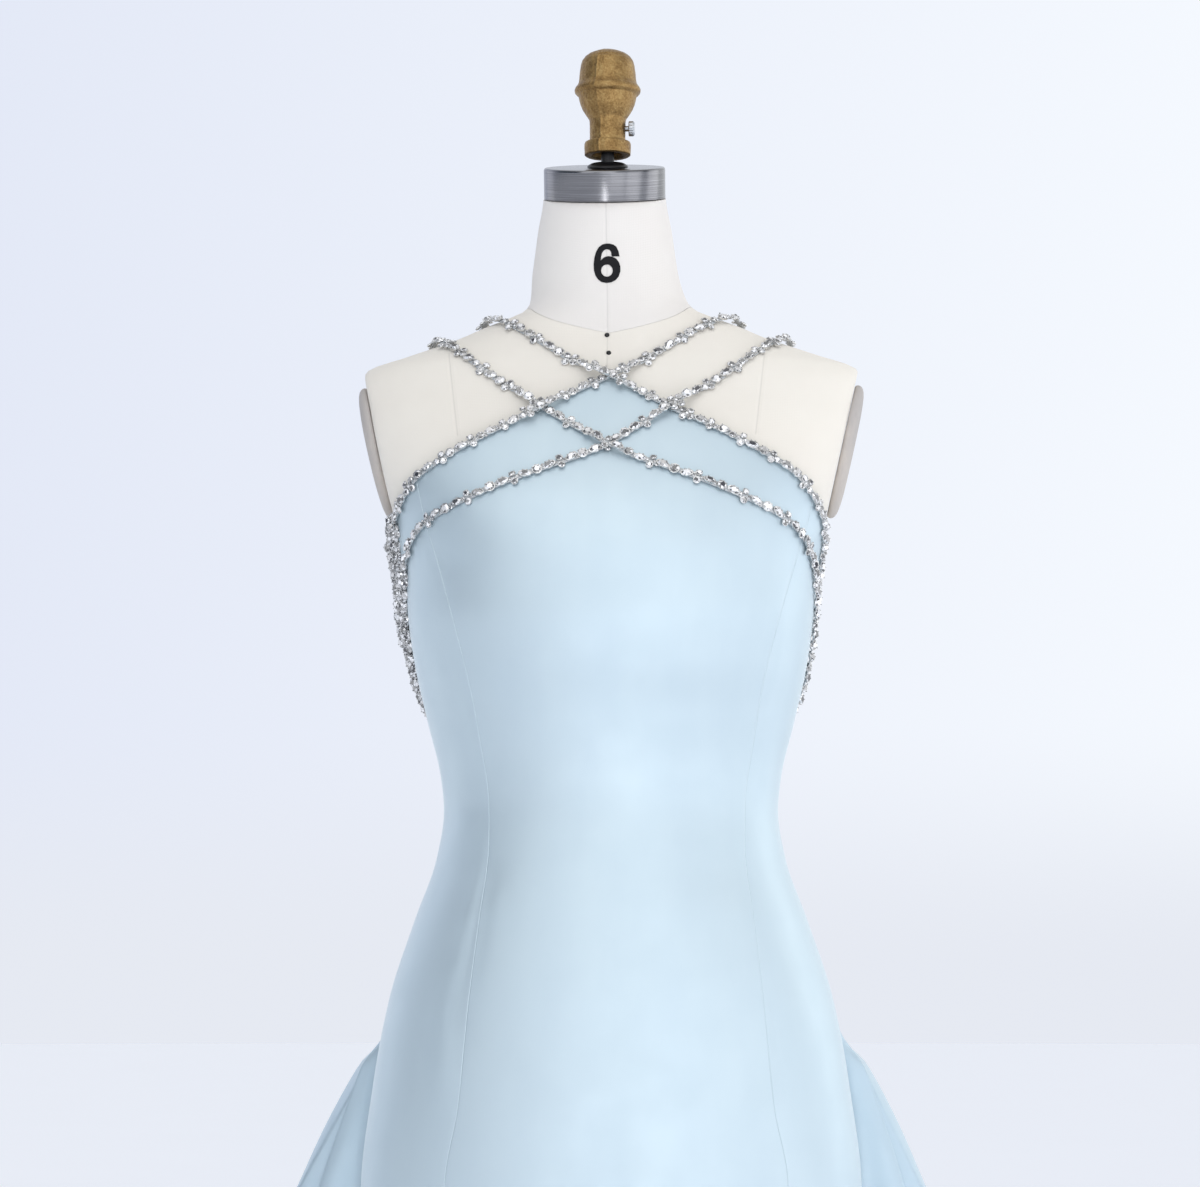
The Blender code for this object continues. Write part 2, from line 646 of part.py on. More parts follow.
def distance_along(route, place):
    """How far along a route its nearest point to `place`, seen from the front, lies."""
    travelled, best, found = 0.0, 1.0, 0.0
    for a, b in zip(route, route[1:]):
        gap = math.hypot(a.x - place.x, a.z - place.z) + (1.0 if a.y > 0.0 else 0.0)
        if gap < best:
            best, found = gap, travelled
        travelled += (b - a).length
    return found


def resample(tree, route, crossings):
    """Sections of a band, closer where it climbs over another and where the figure curves."""
    feet = [tree.find_nearest(point) for point in route]
    picked, stops = [0], [0.0]
    travelled = 0.0
    for i in range(1, len(route)):
        travelled += (route[i] - route[i - 1]).length
        near = min(abs(travelled - place) for place in crossings)
        step = BAND_STEP * 0.5 if near < CROSSING_REACH + 0.004 else BAND_STEP
        turned_by = feet[picked[-1]][1].angle(feet[i][1])
        if travelled - stops[-1] >= step or turned_by > BAND_TURN or i == len(route) - 1:
            picked.append(i)
            stops.append(travelled)
    if stops[-1] - stops[-2] < BAND_STEP * 0.3:
        del picked[-2], stops[-2]
    return stops, [route[i] for i in picked]


def band(name, tree, route, on_gown_from, over, crossings):
    """A beaded band: a flat strip that lies on the form and, further on, on the gown's edge.

    `on_gown_from` is how far along the gown starts; `over` the distance where it lies over another.
    """
    stops, points = resample(tree, route, crossings)
    half, rows = BAND_WIDTH / 2, []
    for i, stop in enumerate(stops):
        foot, normal, _, _ = tree.find_nearest(points[i])
        normal = normal.normalized()
        ahead = (points[min(i + 1, len(points) - 1)] - points[max(i - 1, 0)]).normalized()
        side = normal.cross(ahead).normalized()
        climb = smooth_step((stop - (on_gown_from - 0.038)) / 0.024)
        seat = BAND_SEAT + (EASE + WALL + BAND_SEAT_GOWN - BAND_SEAT) * climb
        beside = (abs(stop - over) - CROSSING_FLAT) / (CROSSING_REACH - CROSSING_FLAT)
        seat += CROSSING_LIFT * (1.0 - smooth_step(beside))
        low, high = foot + normal * seat, foot + normal * (seat + BAND_THICK)
        top = half * BAND_TOP
        rows.append([low - side * half, low + side * half, high + side * top, high - side * top])
    return add_object(name, loft(rows, name), BEADS)


def make_trims():
    """Four beaded trims: two from each shoulder, crossing on the chest."""
    tree = figure_tree()
    top = figure_point(0.0, UPPER_LINE[0].height)
    low = figure_point(0.0, LOWER_LINE[0].height)
    for side, word in ((-1, "left"), (1, "right")):
        own = Vector((SIDE_CROSSING.x * side, 0.0, SIDE_CROSSING.z))
        far = Vector((-SIDE_CROSSING.x * side, 0.0, SIDE_CROSSING.z))
        route = band_route(tree, UPPER_STRAP, UPPER_LINE, side)
        at_top, at_far = distance_along(route, top), distance_along(route, far)
        band("upper_trim_" + word, tree, route, at_top, at_top if side < 0 else at_far, (at_top, at_far))
        route = band_route(tree, LOWER_STRAP, LOWER_LINE, side)
        at_own, at_low = distance_along(route, own), distance_along(route, low)
        band("lower_trim_" + word, tree, route, at_own, at_own if side > 0 else at_low, (at_own, at_low))


# Form

def neck_seam_height(angle):
    """The height of the seam between neck and body."""
    turn = abs(angle)
    if turn <= 90.0:
        return NECK_SEAM_FRONT + (NECK_SEAM_SIDE - NECK_SEAM_FRONT) * math.sin(math.radians(turn))
    return NECK_SEAM_SIDE + (NECK_SEAM_BACK - NECK_SEAM_SIDE) * smooth_step(turn / 90.0 - 1.0)


def body_heights():
    """The level rings of the body, closer at the chest."""
    heights = [FORM_BOTTOM]
    for row in FIGURE:
        if FORM_BOTTOM + 0.02 < row.height < SHOULDER_BASE:
            if row.height > 1.28:
                heights.append((heights[-1] + row.height) / 2)
            heights.append(row.height)
    return heights


def fanned_loft(rings, name, bottom_centre, top_centre):
    """A closed body through rings, an end closed by a fan round a middle point where one is given."""
    mesh = loft(rings, name)
    half_way = (rings[0][0].z + rings[-1][0].z) / 2
    bm = bmesh.new()
    bm.from_mesh(mesh)
    for face in [face for face in bm.faces if len(face.verts) > 4]:
        middle = bottom_centre if face.calc_center_median().z < half_way else top_centre
        if middle is not None:
            bmesh.ops.poke(bm, faces=[face])
            bm.verts.ensure_lookup_table()
            bm.verts[-1].co = middle
    bm.to_mesh(mesh)
    bm.free()
    return mesh


def make_form():
    """The body, neck, arm plates and neck cap."""
    cap_up = Vector((0.0, -math.sin(CAP_TILT), math.cos(CAP_TILT)))
    angles = [-180 + 360 * i / FORM_SIDES for i in range(FORM_SIDES)]
    rings = [[figure_point(angle, height) for angle in angles] for height in body_heights()]
    for step in range(NECK_SEAM_ROWS + 1):
        share = step / NECK_SEAM_ROWS
        rings.append([figure_point(angle, SHOULDER_BASE + (neck_seam_height(angle) - SHOULDER_BASE) * share)
                      for angle in angles])
    seam_middle = Vector((0.0, 0.012, NECK_SEAM_SIDE - 0.002))
    neck_lift = FIT * 1.6
    body = fanned_loft(rings, "form_body", None, seam_middle)
    for side in (-1, 1):
        outward = Vector((side * math.cos(ARM_TILT), 0.0, -math.sin(ARM_TILT)))
        keep_below(body, Vector((side * ARM_TOP.x, 0.0, ARM_TOP.z)), outward)
        arm_plate(side, outward)
    add_object("form_body", body, CANVAS)

    rings = []
    above_cap = FIGURE[-1].height
    for share in (0.0, 0.08, 0.22, 0.45, 0.72, 1.0):
        seam = [neck_seam_height(angle) for angle in angles]
        rings.append([figure_point(angle, low + neck_lift + (above_cap - low) * share)
                      for angle, low in zip(angles, seam)])
    neck = fanned_loft(rings, "form_neck", seam_middle + Vector((0.0, 0.0, neck_lift)), None)
    keep_below(neck, CAP_TOP - cap_up * (CAP_HEIGHT + FIT), cap_up)
    add_object("form_neck", neck, CANVAS)
    place = Matrix.Translation(CAP_TOP) @ Matrix.Rotation(CAP_TILT, 4, "X")
    cap_outline = (TurnPoint(0.0, 0.0), TurnPoint(CAP_RADIUS - 0.0012, 0.0), TurnPoint(CAP_RADIUS, -0.0012),
                   TurnPoint(CAP_RADIUS, -CAP_HEIGHT), TurnPoint(0.0, -CAP_HEIGHT))
    turned("neck_cap", cap_outline, 40, BRUSHED, place)


def arm_plate(side, outward):
    """The oval plate that closes an arm opening, domed a little."""
    y, z = ARM_PLATE_CENTRE
    slope = math.tan(ARM_TILT)
    centre = Vector((side * (ARM_TOP.x + (z - ARM_TOP.z) * slope), y, z))
    back = Vector((0.0, 1.0, 0.0))
    up = outward.cross(back) * -side
    if up.z < 0.0:
        up = -up
    rings = []
    for level in DOME:
        ring = []
        for i in range(ARM_PLATE_SIDES):
            turn = 2.0 * math.pi * i / ARM_PLATE_SIDES
            ring.append(centre + outward * ARM_PLATE_THICK * level.height
                        + back * math.cos(turn) * ARM_PLATE_HALF[0] * level.radius
                        + up * math.sin(turn) * ARM_PLATE_HALF[1] * level.radius)
        rings.append(ring)
    name = "arm_plate_right" if side > 0 else "arm_plate_left"
    add_object(name, loft(rings, name), ARM_CANVAS)


# Neck rod, finial, screw and stand

def make_neck_fittings():
    """The rod with its washer, the finial on it and the screw that clamps the finial."""
    cap_up = Vector((0.0, -math.sin(CAP_TILT), math.cos(CAP_TILT)))
    tilt = Matrix.Rotation(CAP_TILT, 4, "X")
    rod_foot = Vector((ROD_X, 0.0, CAP_TOP.z))
    washer_place = Matrix.Translation(rod_foot + cap_up * FIT) @ tilt
    washer_outline = (TurnPoint(0.0, WASHER_THICK), TurnPoint(WASHER_RADIUS * 0.55, WASHER_THICK),
                      TurnPoint(WASHER_RADIUS * 0.9, WASHER_THICK * 0.6), TurnPoint(WASHER_RADIUS, 0.0),
                      TurnPoint(0.0, 0.0))
    rod = turned("neck_rod", washer_outline, 28, BLACK_STEEL, washer_place)
    rod_bottom = CAP_TOP.z + 0.0028
    rod_top = FINIAL_BORE_TOP - FIT
    shaft = cylinder_mesh("neck_shaft", ROD_RADIUS, rod_top - rod_bottom,
                          Matrix.Translation((ROD_X, 0.0, (rod_top + rod_bottom) / 2)), 20)
    boolean(rod, cutter("neck_shaft", shaft), "UNION")

    on_rod = Matrix.Translation((ROD_X, 0.0, 0.0))
    finial = turned("finial", FINIAL_OUTLINE, 28, CAST_GOLD, on_rod)
    along_x = Matrix.Rotation(math.pi / 2, 4, "Y")
    hole = cylinder_mesh("screw_hole", SCREW_SHANK + SCREW_CLEARANCE, 0.030,
                         Matrix.Translation((ROD_X + 0.0155, 0.0, SCREW_HEIGHT)) @ along_x, 16)
    boolean(finial, cutter("screw_hole", hole), "DIFFERENCE")

    head_base = SCREW_TIP - SCREW_HEAD_THICK
    screw_outline = (TurnPoint(0.0, SCREW_TIP), TurnPoint(SCREW_HEAD * 0.8, SCREW_TIP),
                     TurnPoint(SCREW_HEAD, SCREW_TIP - 0.001), TurnPoint(SCREW_HEAD, head_base),
                     TurnPoint(SCREW_SHANK, head_base), TurnPoint(SCREW_SHANK, ROD_RADIUS + FIT),
                     TurnPoint(0.0, ROD_RADIUS + FIT))
    screw = turned("thumb_screw", screw_outline, 20, BRIGHT_ZINC,
                   Matrix.Translation((ROD_X, 0.0, SCREW_HEIGHT)) @ along_x)
    bm = bmesh.new()
    bmesh.ops.create_cube(bm, size=1.0, matrix=Matrix.Translation((ROD_X + SCREW_TIP, 0.0, SCREW_HEIGHT))
                          @ Matrix.Diagonal((0.0030, 0.0016, 0.020, 1.0)))
    boolean(screw, cutter("screw_slot", mesh_from(bm, "screw_slot")), "DIFFERENCE")


def make_stand():
    """The round base, the pole and the flange that carries the form."""
    turned("base", BASE_OUTLINE, 40, PAINTED)
    bottom = BASE_THICK + HUB_HEIGHT + FIT
    top = FORM_BOTTOM - FIT
    outline = (TurnPoint(0.0, top), TurnPoint(FLANGE_RADIUS, top),
               TurnPoint(FLANGE_RADIUS, top - FLANGE_THICK),
               TurnPoint(POLE_RADIUS * 1.5, top - FLANGE_THICK - 0.003), TurnPoint(POLE_RADIUS, top - 0.030),
               TurnPoint(POLE_RADIUS, bottom), TurnPoint(0.0, bottom))
    turned("pole", outline, 24, PAINTED)


def clear_scene():
    """Empty the scene and make the two collections."""
    for old in list(bpy.data.objects):
        bpy.data.objects.remove(old, do_unlink=True)
    for name in ("mermaid_gown", "cutters"):
        bpy.context.scene.collection.children.link(bpy.data.collections.new(name))


def main():
    """Build the whole part."""
    clear_scene()
    make_gown()
    make_overskirt()
    make_trims()
    make_form()
    make_neck_fittings()
    make_stand()


main()
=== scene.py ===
"""Looks of an ice-blue mermaid evening gown with beaded trims, on a limbless dress form.

Metres, +Z up, the front towards -Y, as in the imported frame.
"""

import json
import logging
import math
from dataclasses import dataclass, field
from enum import Enum
from functools import partial
from typing import Callable, NamedTuple, Sequence

import bmesh
import bpy
import numpy as np
from mathutils import Matrix, Vector
from mathutils.bvhtree import BVHTree

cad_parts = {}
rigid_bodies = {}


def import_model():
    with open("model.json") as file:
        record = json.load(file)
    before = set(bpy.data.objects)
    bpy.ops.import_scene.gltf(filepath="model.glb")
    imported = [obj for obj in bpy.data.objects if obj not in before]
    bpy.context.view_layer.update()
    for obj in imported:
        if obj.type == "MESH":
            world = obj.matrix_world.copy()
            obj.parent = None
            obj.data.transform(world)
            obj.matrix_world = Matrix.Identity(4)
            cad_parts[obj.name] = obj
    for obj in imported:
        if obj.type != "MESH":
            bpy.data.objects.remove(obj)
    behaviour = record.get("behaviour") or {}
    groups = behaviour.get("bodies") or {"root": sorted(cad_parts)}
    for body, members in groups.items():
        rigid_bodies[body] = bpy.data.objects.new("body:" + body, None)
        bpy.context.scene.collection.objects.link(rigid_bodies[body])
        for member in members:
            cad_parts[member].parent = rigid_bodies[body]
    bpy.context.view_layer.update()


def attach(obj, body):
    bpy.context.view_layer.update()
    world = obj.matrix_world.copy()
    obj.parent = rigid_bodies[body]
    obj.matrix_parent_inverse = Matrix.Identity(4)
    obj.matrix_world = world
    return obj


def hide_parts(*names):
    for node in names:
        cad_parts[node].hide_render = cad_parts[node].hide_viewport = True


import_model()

LOG = logging.getLogger("gown")
GOWN_BODY = "gown_on_form"
SCREW_BODY = "clamp_screw"

Array = np.ndarray
Material = bpy.types.Material
Mesh = bpy.types.Mesh
Thing = bpy.types.Object
Socket = bpy.types.NodeSocket
Colour = tuple[float, float, float]
Place = tuple[float, float, float]
Pair = tuple[float, float]
Rows = Sequence[Sequence[float]]

CAP_TILT = math.radians(16.0)
CAP_TOP: Place = (-0.005, 0.0, 1.5832)
FORM_BOTTOM = 0.782

# A level cut of the figure: height, half width, front, back, middle, squareness.
FIGURE_ROWS: Rows = (
    (0.012, 0.3315, 0.2115, 0.2715, 0.0, 2.1), (0.1, 0.2965, 0.1865, 0.2365, 0.0, 2.1),
    (0.22, 0.2505, 0.1545, 0.1865, 0.0, 2.15), (0.34, 0.2095, 0.1265, 0.1415, 0.0, 2.2),
    (0.44, 0.1845, 0.1095, 0.1145, 0.0, 2.25), (0.54, 0.1765, 0.1035, 0.1045, 0.0, 2.3),
    (0.66, 0.1795, 0.1055, 0.1075, 0.0, 2.3), (0.79, 0.1868, 0.1095, 0.1145, 0.0, 2.35),
    (0.87, 0.178, 0.1135, 0.1215, 0.0, 2.35), (0.935, 0.166, 0.1125, 0.1185, 0.0, 2.3),
    (0.995, 0.1467, 0.1065, 0.1045, 0.0, 2.25), (1.04, 0.1308, 0.0985, 0.0905, 0.0, 2.2),
    (1.078, 0.1249, 0.0935, 0.0835, 0.0, 2.2), (1.103, 0.1272, 0.0955, 0.0825, 0.0, 2.2),
    (1.149, 0.1382, 0.1075, 0.0885, 0.0, 2.25), (1.19, 0.1475, 0.1235, 0.0965, 0.0, 2.3),
    (1.227, 0.153, 0.1315, 0.1025, 0.0, 2.35), (1.262, 0.1565, 0.1305, 0.1065, 0.0, 2.35),
    (1.3, 0.169, 0.1205, 0.1095, 0.002, 2.4), (1.34, 0.1895, 0.1005, 0.1085, 0.004, 2.4),
    (1.38, 0.2015, 0.0765, 0.1035, 0.006, 2.4), (1.408, 0.2025, 0.0585, 0.0955, 0.008, 2.35),
    (1.4225, 0.1915, 0.05, 0.0895, 0.01, 2.3), (1.433, 0.163, 0.044, 0.085, 0.012, 2.2),
    (1.4484, 0.12, 0.0375, 0.08, 0.014, 2.1), (1.4562, 0.1032, 0.0355, 0.0775, 0.016, 2.05),
    (1.464, 0.0833, 0.034, 0.075, 0.018, 2.0), (1.471, 0.068, 0.0335, 0.073, 0.019, 2.0),
    (1.479, 0.0618, 0.0335, 0.0715, 0.019, 2.0), (1.502, 0.0572, 0.035, 0.066, 0.0155, 2.0),
    (1.534, 0.0525, 0.039, 0.059, 0.01, 2.0), (1.5587, 0.0482, 0.042, 0.055, 0.0065, 2.0),
    (1.6, 0.047, 0.045, 0.048, 0.002, 2.0),
)
# Upright seams: height, distance from the middle.
FRONT_SEAM_ROWS: Rows = (
    (0.012, 0.215), (0.22, 0.165), (0.34, 0.14), (0.44, 0.124), (0.54, 0.119), (0.66, 0.122),
    (0.8, 0.127), (0.858, 0.117), (0.93, 0.11), (0.99, 0.103), (1.053, 0.096), (1.084, 0.0965),
    (1.129, 0.103), (1.17, 0.11), (1.215, 0.121), (1.257, 0.133), (1.3, 0.146), (1.345, 0.156),
)
BACK_SEAM_ROWS: Rows = (
    (0.012, 0.18), (0.34, 0.11), (0.54, 0.09), (0.8, 0.096), (0.93, 0.084), (1.078, 0.054),
    (1.2, 0.07),
)
# Lines round the gown: degrees from the front, height.
UPPER_LINE_ROWS: Rows = (
    (0.0, 1.4035), (4.2, 1.392), (10.5, 1.377), (21.0, 1.36), (29.6, 1.348), (39.0, 1.336),
    (48.5, 1.325), (60.0, 1.3095), (73.0, 1.293), (82.0, 1.276), (90.0, 1.252), (100.0, 1.222),
    (115.0, 1.19), (135.0, 1.16), (157.0, 1.138), (180.0, 1.129),
)
LOWER_LINE_ROWS: Rows = (
    (0.0, 1.346), (4.5, 1.3365), (9.3, 1.33), (17.0, 1.3215), (24.5, 1.314), (33.5, 1.306),
    (43.5, 1.298), (54.0, 1.289), (66.0, 1.275), (76.0, 1.258), (84.0, 1.235), (90.0, 1.205),
    (97.0, 1.176), (112.0, 1.147), (135.0, 1.119), (158.0, 1.098), (180.0, 1.09),
)
# A level of the overskirt: side height, half width, back height, back reach, wave.
OVERSKIRT_ROWS: Rows = (
    (0.012, 0.545, 0.0045, 0.815, 0.02), (0.035, 0.535, 0.018, 0.73, 0.026),
    (0.095, 0.512, 0.07, 0.665, 0.029), (0.2, 0.472, 0.17, 0.582, 0.028),
    (0.33, 0.422, 0.305, 0.49, 0.025), (0.46, 0.37, 0.44, 0.408, 0.021),
    (0.58, 0.322, 0.57, 0.335, 0.017), (0.69, 0.276, 0.69, 0.27, 0.013),
    (0.78, 0.2385, 0.795, 0.212, 0.009), (0.83, 0.22, 0.855, 0.178, 0.006),
    (0.87, 0.203, 0.9, 0.152, 0.003), (0.905, 0.185, 0.935, 0.133, 0.001),
    (0.935, 0.1718, 0.962, 0.1205, 0.0),
)


# Numbers and surfaces

def smooth_step(t: Array | float) -> Array:
    """0 to 1, level at both ends."""
    t = np.clip(t, 0.0, 1.0)
    return t * t * (3.0 - 2.0 * t)


@dataclass(frozen=True)
class Table:
    """A column of numbers against rising keys, read smoothly and without overshoot."""

    keys: Array
    values: Array

    @staticmethod
    def column(rows: Rows, index: int) -> "Table":
        """A table of one column against the rows' first one."""
        table = np.array(rows)
        return Table(table[:, 0], table[:, index])

    def at(self, where: Array | float) -> Array:
        """Read the table.

        Args:
            where: The keys to read it at.

        Returns:
            One value for each key.
        """
        steps = np.diff(self.values) / np.diff(self.keys)
        before = np.concatenate([steps[:1], steps])
        after = np.concatenate([steps, steps[-1:]])
        both = before + after
        slopes = np.where(before * after > 0.0, 2.0 * before * after / np.where(both == 0.0, 1.0, both), 0.0)
        at = np.clip(where, self.keys[0], self.keys[-1])
        i = np.clip(np.searchsorted(self.keys, at, side="right") - 1, 0, len(self.keys) - 2)
        width = self.keys[i + 1] - self.keys[i]
        t = (at - self.keys[i]) / width
        return ((2 * t ** 3 - 3 * t ** 2 + 1) * self.values[i]
                + (t ** 3 - 2 * t ** 2 + t) * width * slopes[i]
                + (3 * t ** 2 - 2 * t ** 3) * self.values[i + 1]
                + (t ** 3 - t ** 2) * width * slopes[i + 1])


def unit(vectors: Array) -> Array:
    """The same directions, one long."""
    return vectors / np.maximum(np.linalg.norm(vectors, axis=-1, keepdims=True), 1e-12)


@dataclass
class Figure:
    """The form's own surface, by degrees round from the front and height."""

    rows: Rows = FIGURE_ROWS
    neck_sway: float = -0.005
    tables: list[Table] = field(init=False)

    def __post_init__(self) -> None:
        """Read the rows' columns."""
        self.tables = [Table.column(self.rows, i) for i in range(1, 6)]

    def point(self, angle: Array | float, height: Array | float) -> Array:
        """Points of the surface.

        Args:
            angle: Degrees round from the front, above zero towards +X.
            height: Heights above the floor.

        Returns:
            Points, with their coordinates on the last axis.
        """
        angle, height = np.broadcast_arrays(np.asarray(angle, float), np.asarray(height, float))
        half_width, front, back, middle, power = (table.at(height) for table in self.tables)
        turn = np.radians(np.abs(angle))
        along = np.abs(np.cos(turn)) ** (2.0 / power)
        across = np.abs(np.sin(turn)) ** (2.0 / power)
        y = np.where(np.abs(angle) <= 90.0, middle - (front + middle) * along,
                     middle + (back - middle) * along)
        sway = self.neck_sway * smooth_step((height - 1.455) / 0.05)
        return np.stack([np.copysign(half_width * across, angle) + sway, y, height], -1)

    def normal(self, angle: Array | float, height: Array | float) -> Array:
        """Which way the surface faces, with the arguments of `point`."""
        angle, height = np.broadcast_arrays(np.asarray(angle, float), np.asarray(height, float))
        across = self.point(angle + 1.5, height) - self.point(angle - 1.5, height)
        across = np.where((np.abs(angle) > 178.0)[..., None], np.array([-1.0, 0.0, 0.0]), across)
        up = self.point(angle, height + 0.004) - self.point(angle, height - 0.004)
        return unit(np.cross(across, up))

    def metres_per_degree(self, angle: Array, height: Array) -> Array:
        """How long a degree is at a place."""
        inward = angle - np.copysign(1.0, angle)
        return np.linalg.norm(self.point(angle, height) - self.point(inward, height), axis=-1)


FIGURE = Figure()


# Meshes

def finish_mesh(mesh: Mesh, sharp: float = 35.0) -> Mesh:
    """Shade a mesh smooth except where it turns by more than some degrees."""
    mesh.shade_smooth()
    mesh.set_sharp_from_angle(angle=math.radians(sharp))
    return mesh


def face_outwards(mesh: Mesh) -> None:
    """Turn a closed mesh's faces outwards."""
    bm = bmesh.new()
    bm.from_mesh(mesh)
    bmesh.ops.recalc_face_normals(bm, faces=bm.faces)
    bm.to_mesh(mesh)
    bm.free()


def linked(name: str, data: bpy.types.ID) -> Thing:
    """A new object in the scene."""
    made = bpy.data.objects.new(name, data)
    bpy.context.scene.collection.objects.link(made)
    return made


def evaluated(made: Thing) -> Mesh:
    """A plain mesh of what an object's modifiers make."""
    graph = bpy.context.evaluated_depsgraph_get()
    return bpy.data.meshes.new_from_object(made.evaluated_get(graph), preserve_all_data_layers=True,
                                           depsgraph=graph)


def tube_faces(rings: int, sides: int) -> Array:
    """The quads between closed rings, by their points' numbers."""
    index = np.arange(rings * sides).reshape(rings, sides)
    ahead = np.roll(index, -1, axis=1)
    return np.stack([index[:-1], ahead[:-1], ahead[1:], index[1:]], -1).reshape(-1, 4)


def plain_mesh(name: str, points: Rows, faces: Rows = (), flat: bool = False) -> Mesh:
    """A mesh of points and faces."""
    mesh = bpy.data.meshes.new(name)
    mesh.from_pydata(points, [], faces, shade_flat=flat)
    return mesh


def grid_mesh(name: str, points: Array, uv: Array | None = None) -> Mesh:
    """A sheet of quads that faces outwards where columns run to +angle and rows run up.

    Args:
        name: The mesh's name.
        points: Rows, columns, coordinates.
        uv: Rows, columns, and two cloth coordinates in metres.

    Returns:
        The mesh.
    """
    rows, columns = points.shape[:2]
    index = np.arange(rows * columns).reshape(rows, columns)
    faces = np.stack([index[:-1, :-1], index[:-1, 1:], index[1:, 1:], index[1:, :-1]], -1).reshape(-1, 4)
    mesh = plain_mesh(name, points.reshape(-1, 3).tolist(), faces.tolist())
    if uv is not None:
        layer = mesh.uv_layers.new(name="cloth")
        layer.data.foreach_set("uv", uv.reshape(-1, 2)[faces.reshape(-1)].ravel().astype(np.float32))
    return mesh


def ring_mesh(name: str, rings: Array, bottom: Array | None = None, top: Array | None = None,
              sharp: float = 35.0) -> Mesh:
    """A closed body through rings that run to +angle and rise, its ends closed by fans.

    Args:
        name: The mesh's name.
        rings: Rings, points, coordinates.
        bottom: The middle of the lower end; the ring's own middle where it isn't given.
        top: The middle of the upper end, in the same way.
        sharp: Degrees past which an edge is sharp.

    Returns:
        The mesh.
    """
    count, sides = rings.shape[:2]
    low = rings[0].mean(0) if bottom is None else bottom
    high = rings[-1].mean(0) if top is None else top
    points = np.concatenate([rings.reshape(-1, 3), [low, high]])
    faces = tube_faces(count, sides).tolist()
    last = (count - 1) * sides
    faces += [[count * sides, (i + 1) % sides, i] for i in range(sides)]
    faces += [[count * sides + 1, last + i, last + (i + 1) % sides] for i in range(sides)]
    return finish_mesh(plain_mesh(name, points.tolist(), faces), sharp)


def turned_mesh(name: str, outline: Rows, sides: int, place: Matrix, sharp: float = 35.0,
                dress: Callable[[Array], Array] | None = None) -> Mesh:
    """A turned body.

    Args:
        name: The mesh's name.
        outline: Radius and height down its outer side, from the axis to the axis.
        sides: Points round it.
        place: Where its axis stands.
        sharp: Degrees past which an edge is sharp.
        dress: Changes the rings before they are placed, where it is given.

    Returns:
        The mesh.
    """
    profile = np.array(outline)[::-1]
    turn = np.linspace(0.0, 2.0 * math.pi, sides, endpoint=False)
    ring = profile[1:-1]
    rings = np.stack([ring[:, :1] * np.cos(turn), ring[:, :1] * np.sin(turn),
                      np.repeat(ring[:, 1:], sides, axis=1)], -1)
    if dress is not None:
        rings = dress(rings)
    mesh = ring_mesh(name, rings, np.array([0.0, 0.0, profile[0, 1]]), np.array([0.0, 0.0, profile[-1, 1]]),
                     sharp)
    mesh.transform(place)
    return mesh


def rounded(outline: Rows, radius: float, steps: int = 3) -> list[Pair]:
    """An outline with its inner corners rounded off."""
    points = np.array(outline, float)
    made = [tuple(points[0])]
    for before, at, after in zip(points, points[1:], points[2:]):
        reach = min(radius, 0.45 * np.linalg.norm(before - at), 0.45 * np.linalg.norm(after - at))
        start, end = at + unit(before - at) * reach, at + unit(after - at) * reach
        for t in np.linspace(0.0, 1.0, steps + 1):
            made.append(tuple((1 - t) ** 2 * start + 2 * t * (1 - t) * at + t ** 2 * end))
    return made + [tuple(points[-1])]


def fine_outline(outline: Rows, step: float) -> list[Pair]:
    """An outline with points no further apart than a step."""
    points = np.array(outline, float)
    made = [tuple(points[0])]
    for a, b in zip(points, points[1:]):
        count = max(1, math.ceil(np.linalg.norm(b - a) / step))
        made += [tuple(a + (b - a) * i / count) for i in range(1, count + 1)]
    return made


def ripple(points: Array, scale: float, seed: int) -> Array:
    """Smooth seeded noise between -1 and 1 at points, from a few waves.

    Args:
        points: Points, with their coordinates on the last axis.
        scale: Waves a metre.
        seed: Picks the waves.

    Returns:
        One value for each point.
    """
    rng = np.random.default_rng(seed)
    total = np.zeros(points.shape[:-1])
    for octave in range(3):
        for _ in range(5):
            direction = unit(rng.normal(size=3)) * scale * 2.0 ** octave * rng.uniform(0.7, 1.3)
            total += np.sin(2 * math.pi * (points @ direction) + rng.uniform(0, 6.28)) / 2.0 ** octave
    return total / 5.0


@dataclass(frozen=True)
class Crease:
    """A soft ridge (height above zero) or trough (below) along a line of the cloth's own places."""

    line: Rows
    height: float
    width: float


def crease_relief(points: Array, creases: Sequence[Crease], locate: Callable[[Array], Array]) -> Array:
    """How far creases lift the points of a cloth.

    Args:
        points: Points of the cloth.
        creases: The creases.
        locate: Turns the two numbers of a crease's places into points of the cloth.

    Returns:
        A lift for each point, in metres.
    """
    flat = points.reshape(-1, 3)
    lift = np.zeros(len(flat))
    for crease in creases:
        places = np.array(crease.line, float)
        knots = np.linspace(0.0, 1.0, len(places))
        fine = np.linspace(0.0, 1.0, 13)
        line = locate(np.stack([np.interp(fine, knots, places[:, i]) for i in range(2)], -1))
        reach = 3.0 * crease.width
        near = np.all((flat > line.min(0) - reach) & (flat < line.max(0) + reach), axis=1)
        if not near.any():
            continue
        spot = flat[near]
        a, b = line[:-1], line[1:]
        along = b - a
        t = np.einsum("ijk,jk->ij", spot[:, None] - a, along) / np.maximum((along ** 2).sum(1), 1e-12)
        t = np.clip(t, 0.0, 1.0)
        gap = np.linalg.norm(spot[:, None] - (a + t[..., None] * along), axis=2)
        best = gap.argmin(1)
        pick = np.arange(len(spot))
        whole = (best + t[pick, best]) / len(a)
        taper = np.sin(math.pi * np.clip(whole, 0.0, 1.0)) ** 0.8
        lift[near] += crease.height * taper * np.exp(-(gap[pick, best] / crease.width) ** 2)
    return lift.reshape(points.shape[:-1])


# Finishes

